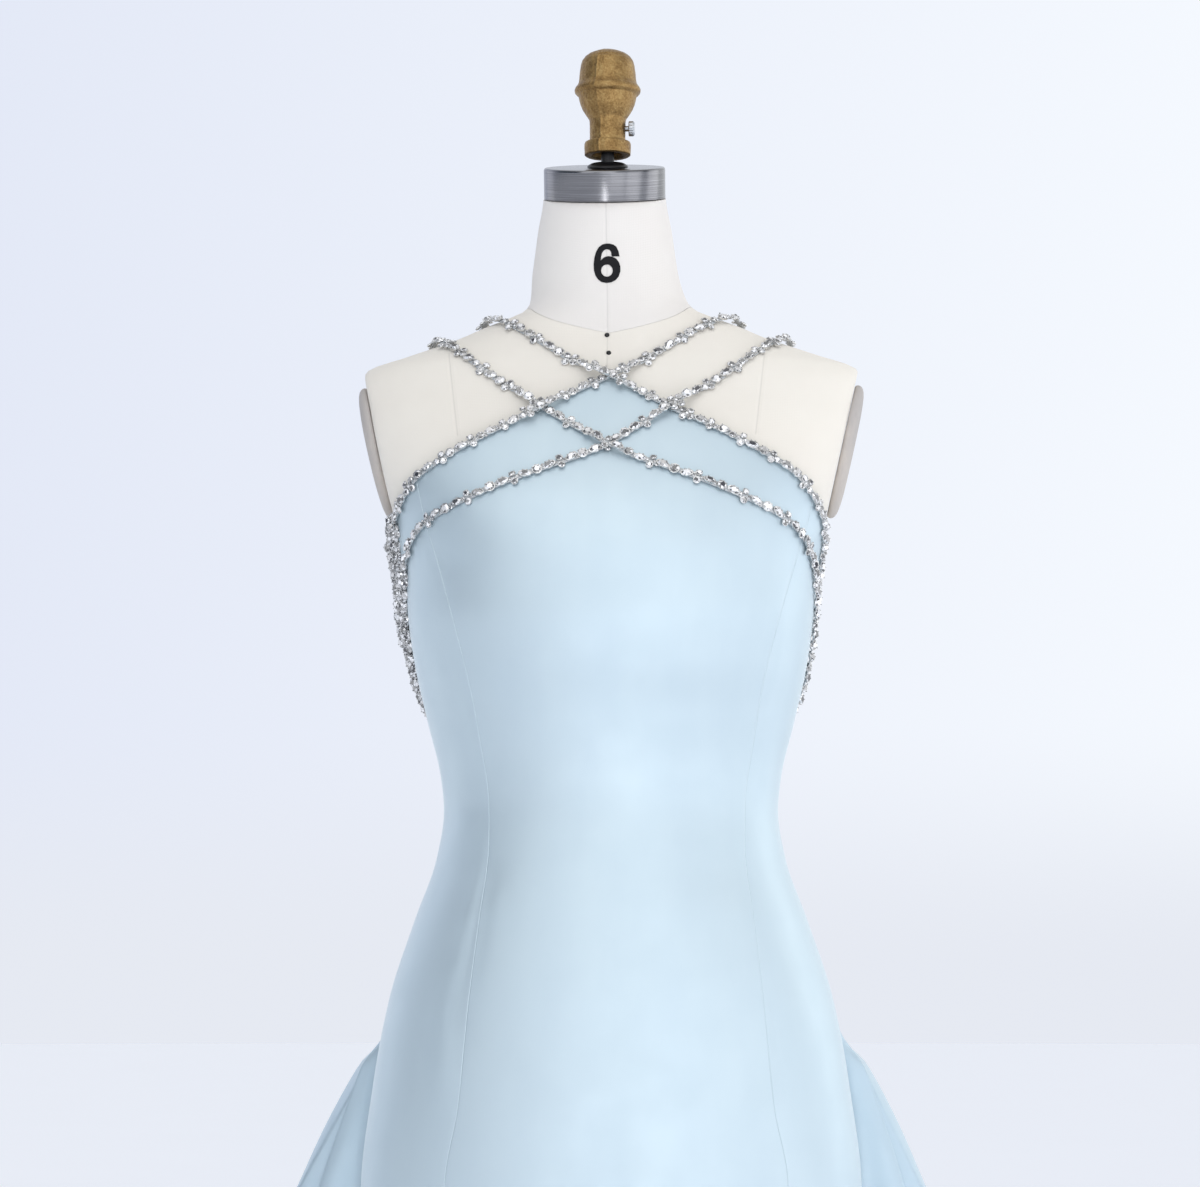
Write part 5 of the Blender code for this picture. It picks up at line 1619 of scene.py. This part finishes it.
    def build(self) -> None:
        """Make the four trims."""
        tree = self.setting_tree()
        groups = (self.shapes(self.stone_mesh, "stone"), self.shapes(self.cup_mesh, "cup"))
        seed = self.first_seed
        for side, hand in ((-1, "left"), (1, "right")):
            for word in ("upper", "lower"):
                self.build_trim(f"{word}_trim_{hand}", side, seed, groups, tree)
                seed += 1
        for group in groups:
            for shape in list(group.objects):
                bpy.data.objects.remove(shape, do_unlink=True)
            bpy.data.collections.remove(group)


# Dress form

NUMERAL: Rows = (
    (0.961, 0.682), (0.93, 0.805), (0.85, 0.918), (0.745, 0.972), (0.6, 0.998), (0.46, 0.996), (0.32, 0.972),
    (0.195, 0.905), (0.095, 0.79), (0.032, 0.64), (0.006, 0.48), (0.018, 0.32), (0.072, 0.195), (0.16, 0.098),
    (0.285, 0.028), (0.47, 0.0), (0.66, 0.018), (0.825, 0.08), (0.935, 0.175), (0.99, 0.3), (0.99, 0.43),
    (0.94, 0.53), (0.845, 0.62), (0.7, 0.668), (0.55, 0.68), (0.425, 0.662), (0.33, 0.618), (0.272, 0.57),
    (0.28, 0.668), (0.318, 0.765), (0.388, 0.828), (0.49, 0.856), (0.59, 0.842), (0.65, 0.788), (0.675, 0.672),
)


@dataclass
class DressForm:
    """The padded body and neck, the arm plates, the neck cap and what is printed and pinned on them."""

    bottom: float = FORM_BOTTOM
    shoulder_base: float = 1.394
    seam_front: float = 1.4445
    seam_side: float = 1.4732
    seam_back: float = 1.492
    seam_gap: float = 0.00012
    sides: int = 144
    body_top: Place = (0.0, 0.012, 1.469)
    neck_foot: Place = (0.0, 0.012, 1.4725)
    arm_top: Pair = (0.1905, 1.4116)
    arm_tilt: float = math.radians(12.7)
    arm_edge: float = 0.003
    plate_centre: Pair = (0.0035, 1.358)
    plate_half: Pair = (0.043, 0.053)
    plate_thick: float = 0.01
    cap_tilt: float = CAP_TILT
    cap_radius: float = 0.0477
    cap_height: float = 0.0245
    cap_top: Place = CAP_TOP
    fit: float = 0.0003
    numeral_centre: Pair = (-0.0018, 1.4997)
    numeral_size: Pair = (0.0205, 0.0304)
    ink_lift: float = 0.00025
    ink_thick: float = 0.00022
    ink_step: float = 0.0022
    pins: tuple[Place, ...] = ((-0.0016, -0.0397, 1.4427), (0.0, -0.047, 1.4275))
    pin_tilt: float = math.radians(62.0)

    def seam_height(self, angle: Array) -> Array:
        """The height of the seam between neck and body."""
        turn = np.abs(angle)
        front = self.seam_front + (self.seam_side - self.seam_front) * np.sin(np.radians(np.minimum(turn, 90.0)))
        back = self.seam_side + (self.seam_back - self.seam_side) * smooth_step(turn / 90.0 - 1.0)
        return np.where(turn <= 90.0, front, back)

    def flatten_arms(self, points: Array) -> Array:
        """Press the shoulders flat at the arm openings, with a rounded edge."""
        made = points.copy()
        for side in (-1.0, 1.0):
            outward = np.array([side * math.cos(self.arm_tilt), 0.0, -math.sin(self.arm_tilt)])
            beyond = (made - np.array([side * self.arm_top[0], 0.0, self.arm_top[1]])) @ outward
            edge = self.arm_edge
            pressed = np.where(beyond > -edge, -edge + edge * np.tanh((beyond + edge) / edge), beyond)
            made = made + outward * (pressed - beyond)[..., None]
        return made

    def body_mesh(self) -> Mesh:
        """The body's cover, from the open foot to the neck seam."""
        angles = np.linspace(-180.0, 180.0, self.sides, endpoint=False)
        levels = np.linspace(self.bottom, self.shoulder_base, 96)
        rings = [FIGURE.point(angles, np.full_like(angles, height)) for height in levels]
        for share in np.linspace(0.0, 1.0, 26)[1:]:
            rings.append(FIGURE.point(angles, self.shoulder_base
                                      + (self.seam_height(angles) - self.shoulder_base) * share))
        rings = self.flatten_arms(np.array(rings))
        inner = rings[-1].mean(0) + (rings[-1] - rings[-1].mean(0)) * 0.985 + np.array([0.0, 0.0, -0.0012])
        rings = np.concatenate([rings, [inner]])
        return ring_mesh("form_body", rings, None, np.array(self.body_top), 60.0)

    def neck_mesh(self) -> Mesh:
        """The neck's cover, from its seam to under the cap."""
        angles = np.linspace(-180.0, 180.0, self.sides, endpoint=False)
        low = self.seam_height(angles) + self.seam_gap
        up = np.array([0.0, -math.sin(self.cap_tilt), math.cos(self.cap_tilt)])
        top = np.array(self.cap_top) - up * (self.cap_height + self.fit)
        rings = []
        for share in np.linspace(0.0, 1.0, 30):
            ring = FIGURE.point(angles, low + (1.585 - low) * share)
            beyond = np.maximum((ring - top) @ up, 0.0)
            rings.append(ring - np.array([0.0, 0.0, 1.0]) * (beyond / up[2])[:, None])
        first = rings[0]
        inner = first.mean(0) + (first - first.mean(0)) * 0.97 + np.array([0.0, 0.0, 0.001])
        return ring_mesh("form_neck", np.array([inner] + rings), np.array(self.neck_foot), top, 60.0)

    def plate_mesh(self, side: int) -> Mesh:
        """One arm plate, domed, with a rounded rim."""
        y, z = self.plate_centre
        x = side * (self.arm_top[0] + (z - self.arm_top[1]) * math.tan(self.arm_tilt))
        outward = np.array([side * math.cos(self.arm_tilt), 0.0, -math.sin(self.arm_tilt)])
        back = np.array([0.0, 1.0, 0.0])
        up = np.array([side * math.sin(self.arm_tilt), 0.0, math.cos(self.arm_tilt)])
        shares = [(0.965, 0.03), (0.99, 0.12), (1.0, 0.26), (0.998, 0.4), (0.985, 0.54), (0.955, 0.68),
                  (0.91, 0.78), (0.84, 0.86), (0.74, 0.92), (0.6, 0.965), (0.44, 0.985), (0.26, 0.997),
                  (0.1, 1.0)]
        turn = np.linspace(0.0, 2.0 * math.pi, 72, endpoint=False)[:, None] * -side
        deep, tall = self.plate_half
        rings = [np.array([x, y, z]) + outward * self.plate_thick * rise + back * np.cos(turn) * deep * reach
                 + up * np.sin(turn) * tall * reach for reach, rise in shares]
        mesh = ring_mesh("arm_plate", np.array(rings), None, None, 60.0)
        face_outwards(mesh)
        return mesh

    def numeral_mesh(self, neck: Mesh) -> Mesh:
        """The size numeral, drawn by its outline and laid on the front of the neck."""
        drawn = bpy.data.curves.new("size numeral", "CURVE")
        drawn.dimensions, drawn.fill_mode = "2D", "BOTH"
        turns = np.linspace(0.0, 2.0 * math.pi, 20, endpoint=False)
        eye = [(0.496 + 0.215 * math.cos(turn), 0.316 + 0.155 * math.sin(turn)) for turn in turns]
        for outline in (NUMERAL, eye):
            line = drawn.splines.new("POLY")
            line.points.add(len(outline) - 1)
            line.use_cyclic_u = True
            for dot, (x, y) in zip(line.points, outline):
                dot.co = (x, y, 0.0, 1.0)
        carrier = linked("size numeral", drawn)
        bm = bmesh.new()
        bm.from_mesh(bpy.data.meshes.new_from_object(carrier.evaluated_get(bpy.context.evaluated_depsgraph_get())))
        bpy.data.objects.remove(carrier, do_unlink=True)
        drawing = np.array([vert.co[:2] for vert in bm.verts])
        shares = (drawing - drawing.min(0)) / (drawing.max(0) - drawing.min(0)) - 0.5
        tree = BVHTree.FromPolygons([vert.co for vert in neck.vertices],
                                    [face.vertices[:] for face in neck.polygons])
        for vert, (x, z) in zip(bm.verts, np.array(self.numeral_centre) + shares * np.array(self.numeral_size)):
            vert.co = (x, 0.0, z)
        bmesh.ops.remove_doubles(bm, verts=bm.verts, dist=1e-6)
        bmesh.ops.triangulate(bm, faces=bm.faces)
        for _ in range(4):
            long = [edge for edge in bm.edges if edge.calc_length() > self.ink_step]
            if long:
                bmesh.ops.subdivide_edges(bm, edges=long, cuts=1, use_grid_fill=False)
                bmesh.ops.triangulate(bm, faces=bm.faces)
        for vert in bm.verts:
            hit = tree.ray_cast(Vector((vert.co.x, -0.3, vert.co.z)), Vector((0.0, 1.0, 0.0)))
            vert.co = hit[0] + hit[1] * self.ink_lift
        bmesh.ops.recalc_face_normals(bm, faces=bm.faces)
        if sum(face.normal.y * face.calc_area() for face in bm.faces) > 0.0:
            bmesh.ops.reverse_faces(bm, faces=bm.faces)
        extruded = bmesh.ops.extrude_face_region(bm, geom=bm.faces[:])
        for vert in (item for item in extruded["geom"] if isinstance(item, bmesh.types.BMVert)):
            vert.co.y -= self.ink_thick
        bmesh.ops.recalc_face_normals(bm, faces=bm.faces)
        made = bpy.data.meshes.new("size_numeral")
        bm.to_mesh(made)
        bm.free()
        return finish_mesh(made)

    def build(self) -> None:
        """Make the form's pieces."""
        body, neck = self.body_mesh(), self.neck_mesh()
        piece("form_body_cover", body, Finish.BODY, replaces=["form_body"])
        piece("form_neck_cover", neck, Finish.NECK, replaces=["form_neck"])
        for side, hand in ((-1, "left"), (1, "right")):
            piece(f"arm_plate_{hand}_cover", self.plate_mesh(side), Finish.ARM,
                  replaces=[f"arm_plate_{hand}"])
        piece("size_numeral", self.numeral_mesh(neck), Finish.INK)
        place = Matrix.Translation(self.cap_top) @ Matrix.Rotation(self.cap_tilt, 4, "X")
        outline = rounded(((0.0, 0.0), (self.cap_radius - 0.0008, 0.0), (self.cap_radius, -0.0014),
                           (self.cap_radius, -self.cap_height), (0.0, -self.cap_height)), 0.0008)
        piece("neck_cap_brushed", turned_mesh("neck_cap", outline, 120, place), Finish.STEEL,
              replaces=["neck_cap"])
        pin = ((0.0, 0.0015), (0.0011, 0.0013), (0.0018, 0.0007), (0.002, 0.0), (0.0004, -0.0004),
               (0.0003, -0.002), (0.0, -0.0022))
        for number, place in enumerate(self.pins, 1):
            lie = Matrix.Translation(place) @ Matrix.Rotation(self.pin_tilt, 4, "X")
            piece(f"cover_pin_{number}", turned_mesh("cover_pin", pin, 14, lie), Finish.BLACK)


# Fittings and stand

@dataclass
class Fittings:
    """The neck rod with its washer, the cast finial and the screw that clamps it."""

    rod_x: float = -0.0025
    rod_radius: float = 0.0051
    cap_top: float = CAP_TOP[2]
    cap_tilt: float = CAP_TILT
    finial_bottom: float = 1.5925
    bore: float = 0.0056
    bore_top: float = 1.635
    seam_turn: float = -1.93
    screw_height: float = 1.614
    screw_shank: float = 0.0022
    screw_tip: float = 0.0213
    screw_head: float = 0.0058
    screw_thick: float = 0.0048

    def finial_outline(self) -> list[Pair]:
        """The finial's profile from its crown round into its bore."""
        low = self.finial_bottom
        outline = ((0.0, 1.6775), (0.006, 1.677), (0.0102, 1.6757), (0.015, 1.6736), (0.018, 1.6712),
                   (0.0202, 1.668), (0.0212, 1.664), (0.0219, 1.659), (0.0224, 1.6536), (0.0228, 1.6506),
                   (0.0238, 1.6486), (0.0252, 1.6468), (0.026, 1.645), (0.0257, 1.643), (0.0242, 1.6414),
                   (0.0228, 1.6404), (0.0222, 1.637), (0.0212, 1.6332), (0.0196, 1.6294), (0.0176, 1.626),
                   (0.0156, 1.6232), (0.0145, 1.6215), (0.0141, 1.6195), (0.014, 1.612), (0.0139, 1.605),
                   (0.0142, 1.6036), (0.0176, 1.603), (0.0182, 1.6018), (0.0183, 1.599), (0.018, low + 0.0006),
                   (0.0172, low), (0.0132, low), (0.0118, low + 0.001), (0.011, low + 0.004),
                   (self.bore, low + 0.004), (self.bore, self.bore_top), (0.0, self.bore_top))
        return fine_outline(outline, 0.0011)

    def roughen(self, rings: Array) -> Array:
        """The cast skin: small dents and a raised mould seam down each side."""
        radius = np.hypot(rings[..., 0], rings[..., 1])
        outer = smooth_step((radius - 0.0125) / 0.0012)
        turn = np.arctan2(rings[..., 1], rings[..., 0])
        rough = 0.00016 * ripple(rings, 260.0, 5) + 0.00007 * ripple(rings, 700.0, 6)
        for seam in (self.seam_turn, self.seam_turn + math.pi):
            off = np.abs(np.angle(np.exp(1j * (turn - seam)))) * radius
            rough = rough + 0.0007 * np.exp(-(off / 0.0008) ** 2) * (0.75 + 0.25 * ripple(rings, 400.0, 7))
        crown = rings[..., 2] > 1.677
        rough = np.where(crown, rough * 0.4, rough)
        outer = np.where(rings[..., 2] > 1.65, 1.0, outer)
        scale = 1.0 + outer * rough / np.maximum(radius, 0.004)
        return np.concatenate([rings[..., :2] * scale[..., None], rings[..., 2:]], -1)

    def build(self) -> None:
        """Make the fittings."""
        tilt = Matrix.Rotation(self.cap_tilt, 4, "X")
        up = Vector((0.0, -math.sin(self.cap_tilt), math.cos(self.cap_tilt)))
        on_rod = Matrix.Translation((self.rod_x, 0.0, 0.0))
        foot = Vector((self.rod_x, 0.0, self.cap_top)) + up * 0.0003
        disc = rounded(((0.0, 0.0042), (0.0075, 0.0041), (0.012, 0.0033), (0.015, 0.0018), (0.0165, 0.0),
                        (0.0, 0.0)), 0.001)
        washer = turned_mesh("washer", disc, 64, Matrix.Translation(foot) @ tilt)
        high, low = self.bore_top - 0.0003, self.cap_top + 0.0026
        rod = rounded(((0.0, high), (self.rod_radius, high), (self.rod_radius, low), (0.0, low)), 0.0006)
        shaft = turned_mesh("shaft", rod, 40, on_rod)
        bm = bmesh.new()
        bm.from_mesh(washer)
        bm.from_mesh(shaft)
        bm.to_mesh(washer)
        bm.free()
        piece("neck_rod_black", finish_mesh(washer), Finish.BLACK, replaces=["neck_rod"])

        finial = turned_mesh("finial", self.finial_outline(), 176, on_rod, 50.0, self.roughen)
        made = piece("finial_cast", finial, Finish.GOLD, replaces=["finial"])
        across = Matrix.Translation((self.rod_x, 0.0, self.screw_height)) @ Matrix.Rotation(math.pi / 2, 4, "Y")
        self.cut(made, turned_mesh("screw hole", ((0.0, 0.031), (0.0027, 0.031), (0.0027, 0.001), (0.0, 0.001)),
                                   32, across))

        tip, base = self.screw_tip, self.screw_tip - self.screw_thick
        head, shank, inner = self.screw_head, self.screw_shank, self.rod_radius + 0.0003
        outline = rounded(((0.0, tip), (head * 0.8, tip), (head, tip - 0.001), (head, base + 0.0004),
                           (head * 0.92, base), (shank, base), (shank, inner), (0.0, inner)), 0.0004)

        def knurl(rings: Array) -> Array:
            """Fine ribs round the head."""
            radius = np.hypot(rings[..., 0], rings[..., 1])
            turn = np.arctan2(rings[..., 1], rings[..., 0])
            rib = 0.00014 * np.cos(turn * 24.0) * (radius > head * 0.93)
            return np.concatenate([rings[..., :2] * (1.0 - rib / np.maximum(radius, 0.001))[..., None],
                                   rings[..., 2:]], -1)

        screw = turned_mesh("thumb_screw", outline, 96, across, 30.0, knurl)
        made = piece("thumb_screw_zinc", screw, Finish.ZINC, SCREW_BODY, ["thumb_screw"])
        bm = bmesh.new()
        bmesh.ops.create_cube(bm, size=1.0, matrix=Matrix.Translation((self.rod_x + tip, 0.0, self.screw_height))
                              @ Matrix.Diagonal((0.003, 0.0016, 0.02, 1.0)))
        slot = bpy.data.meshes.new("screw slot")
        bm.to_mesh(slot)
        bm.free()
        self.cut(made, slot)

    @staticmethod
    def cut(made: Thing, shape: Mesh) -> None:
        """Cut a shape out of a piece's mesh."""
        tool = linked("cutter", shape)
        change = made.modifiers.new("cut", "BOOLEAN")
        change.operation, change.solver, change.object = "DIFFERENCE", "EXACT", tool
        mesh = evaluated(made)
        made.modifiers.clear()
        bpy.data.objects.remove(tool, do_unlink=True)
        made.data = mesh


@dataclass
class Stand:
    """The round base and the pole that carries the form."""

    pole_radius: float = 0.016
    base_radius: float = 0.215
    base_thick: float = 0.01
    hub_radius: float = 0.034
    hub_height: float = 0.052
    flange_radius: float = 0.06
    flange_thick: float = 0.006
    form_bottom: float = FORM_BOTTOM
    fit: float = 0.0003

    def build(self) -> None:
        """Make the base and the pole."""
        thick, hub, top = self.base_thick, self.hub_radius, self.base_thick + self.hub_height
        outline = rounded(((0.0, top), (hub * 0.72, top), (hub * 0.8, thick + self.hub_height * 0.9),
                           (hub, thick + 0.004), (hub + 0.006, thick + 0.0005),
                           (self.base_radius - 0.005, thick - 0.0015), (self.base_radius, thick * 0.45),
                           (self.base_radius - 0.0015, 0.0), (0.0, 0.0)), 0.0025)
        piece("base_enamel", turned_mesh("base", outline, 144, Matrix.Identity(4)), Finish.ENAMEL,
              replaces=["base"])
        bottom, high = top + self.fit, self.form_bottom - self.fit
        radius = self.pole_radius
        outline = rounded(((0.0, high), (self.flange_radius, high), (self.flange_radius, high - self.flange_thick),
                           (radius * 1.5, high - self.flange_thick - 0.003), (radius, high - 0.03),
                           (radius, bottom), (0.0, bottom)), 0.0012)
        piece("pole_enamel", turned_mesh("pole", outline, 64, Matrix.Identity(4)), Finish.ENAMEL,
              replaces=["pole"])


# Studio

@dataclass(frozen=True)
class SoftLight:
    """A large soft lamp: degrees round from the front, degrees up, power, size and distance."""

    name: str
    turn: float
    up: float
    power: float
    size: Pair
    reach: float = 3.3

    def place(self, centre: Vector) -> Vector:
        """Where the lamp stands, by what it lights."""
        turn, up = math.radians(self.turn), math.radians(self.up)
        level = math.cos(up)
        return centre + self.reach * Vector((math.sin(turn) * level, -math.cos(turn) * level, math.sin(up)))


@dataclass
class Studio:
    """A plain pale floor that glows far out as painted light, soft light and the photograph's camera."""

    camera_place: Place = (0.09074, -2.59842, 0.98)
    camera_target: Place = (-0.0085, 0.0, 1.247)
    lens: float = 101.186
    sensor: float = 36.0
    sky_left: Colour = (0.72, 0.765, 0.9)
    sky_right: Colour = (0.99, 1.02, 1.04)
    room_left: Colour = (0.13, 0.17, 0.22)
    room_right: Colour = (0.3, 0.33, 0.38)
    ceiling: float = 0.78
    horizon: Colour = (0.79, 0.82, 0.89)
    floor_colour: Colour = (0.9, 0.92, 0.97)
    # floor_glow and glow_reach: the far floor glows as painted light
    floor_glow: float = 0.26
    glow_reach: Pair = (2.6, 5.0)
    floor_radius: float = 30.0
    floor_sides: int = 96
    lights: tuple[SoftLight, ...] =(
        SoftLight("key", 27.0, 8.0, 11.0, (1.7, 3.6)), SoftLight("front", 6.0, 12.0, 5.0, (1.3, 4.2)),
        SoftLight("middle", 4.0, 26.0, 16.0, (1.8, 3.0)), SoftLight("side", 60.0, 8.0, 20.0, (1.8, 3.6)),
        SoftLight("high left", -30.0, 28.0, 15.0, (1.4, 2.6)), SoftLight("overhead", 0.0, 60.0, 9.0, (2.4, 2.4)),
        SoftLight("rim right", 108.0, 8.0, 20.0, (1.8, 3.6)), SoftLight("rim left", -124.0, 8.0, 6.0, (1.4, 3.6)),
        SoftLight("low front", 28.0, -5.0, 2.5, (1.6, 1.6)),
        SoftLight("low strip", 2.5, -21.0, 2.6, (0.2, 0.7), 1.9),
    )

    @staticmethod
    def aim(made: Thing, place: Sequence[float], target: Sequence[float]) -> None:
        """Stand a lamp or camera somewhere and turn it to a place."""
        made.location = place
        made.rotation_euler = (Vector(target) - Vector(place)).to_track_quat("-Z", "Y").to_euler()

    def build_floor(self) -> None:
        """Make the floor, pale and faintly uneven in gloss, glowing far out as painted light."""
        bench = Bench("pale floor")
        cloud = bench.noise(bench.spot, 1.5, 2.0)
        shade = tuple(0.985 * value for value in self.floor_colour)
        # painted light: the floor glows from glow_reach outwards, though it is no lamp
        glow = bench.ramp(bench.spread(bench.length(bench.spot), *self.glow_reach, 0.0, 1.0),
                          ((0.0, (0.0, 0.0, 0.0)), (1.0, self.floor_colour)))
        bench.done(Base_Color=bench.ramp(cloud, ((0.3, shade), (0.7, self.floor_colour))), Emission_Color=glow,
                   Emission_Strength=self.floor_glow, Roughness=bench.spread(cloud, 0.3, 0.7, 0.85, 0.92),
                   Specular_IOR_Level=0.15)
        turns = np.linspace(0.0, 2.0 * math.pi, self.floor_sides, endpoint=False)
        points = [(self.floor_radius * math.cos(turn), self.floor_radius * math.sin(turn), -0.0005)
                  for turn in turns]
        mesh = plain_mesh("floor", points, [list(range(self.floor_sides))], flat=True)
        mesh.materials.append(bench.material)
        linked("floor", mesh)

    def sky(self) -> bpy.types.World:
        """A soft sky: pale behind the part, darker in front of it, bright overhead."""
        world = bpy.data.worlds.new("soft sky")
        world.use_nodes = True
        tree = world.node_tree
        way = add_node(tree, "ShaderNodeTexCoord", {}).outputs["Generated"]
        split = add_node(tree, "ShaderNodeSeparateXYZ", {0: way}).outputs

        def share(axis: int, low: float, high: float) -> Socket:
            """0 to 1 along an axis of the direction."""
            return add_node(tree, "ShaderNodeMapRange", {0: split[axis], "From Min": low, "From Max": high},
                            interpolation_type="SMOOTHSTEP").outputs[0]

        def mixed(by: Socket, low: Colour | Socket, high: Colour | Socket) -> Socket:
            """A colour between two."""
            ends = [(*end, 1.0) if isinstance(end, tuple) else end for end in (low, high)]
            return add_node(tree, "ShaderNodeMix", {0: by, 6: ends[0], 7: ends[1]}, data_type="RGBA").outputs[2]

        across = share(0, -0.5, 0.5)
        behind = mixed(across, self.sky_left, self.sky_right)
        room = mixed(across, self.room_left, self.room_right)
        level = mixed(share(1, -0.1, 0.42), room, behind)
        level = mixed(share(2, -0.01, 0.07), self.horizon, level)
        whole = mixed(share(2, 0.55, 0.9), level, (self.ceiling,) * 3)
        tree.links.new(whole, tree.nodes["Background"].inputs[0])
        return world

    def build(self) -> None:
        """Make the floor, the lamps, the sky and the camera."""
        self.build_floor()
        centre = Vector((0.0, 0.0, 1.15))
        for light in self.lights:
            lamp = bpy.data.lights.new(light.name, "AREA")
            lamp.shape, lamp.size, lamp.size_y = "RECTANGLE", *light.size
            lamp.energy = light.power
            made = linked(light.name, lamp)
            made.visible_camera = False
            self.aim(made, light.place(centre), centre)
        bpy.context.scene.world = self.sky()
        bpy.context.scene.view_settings.view_transform = "Standard"
        data = bpy.data.cameras.new("photo view")
        data.lens, data.sensor_width, data.clip_end = self.lens, self.sensor, 200.0
        camera = linked("photo view", data)
        self.aim(camera, self.camera_place, self.camera_target)
        bpy.context.scene.camera = camera
        LOG.info("studio: %d lamps", len(self.lights))


def main() -> None:
    """Build the gown, the form, the stand and the studio."""
    logging.basicConfig(level=logging.INFO, format="%(message)s")
    gown = Gown()
    gown.build()
    Overskirt(gown).build()
    BeadedTrims(gown).build()
    DressForm().build()
    Fittings().build()
    Stand().build()
    Studio().build()


if __name__ == "__main__":
    main()
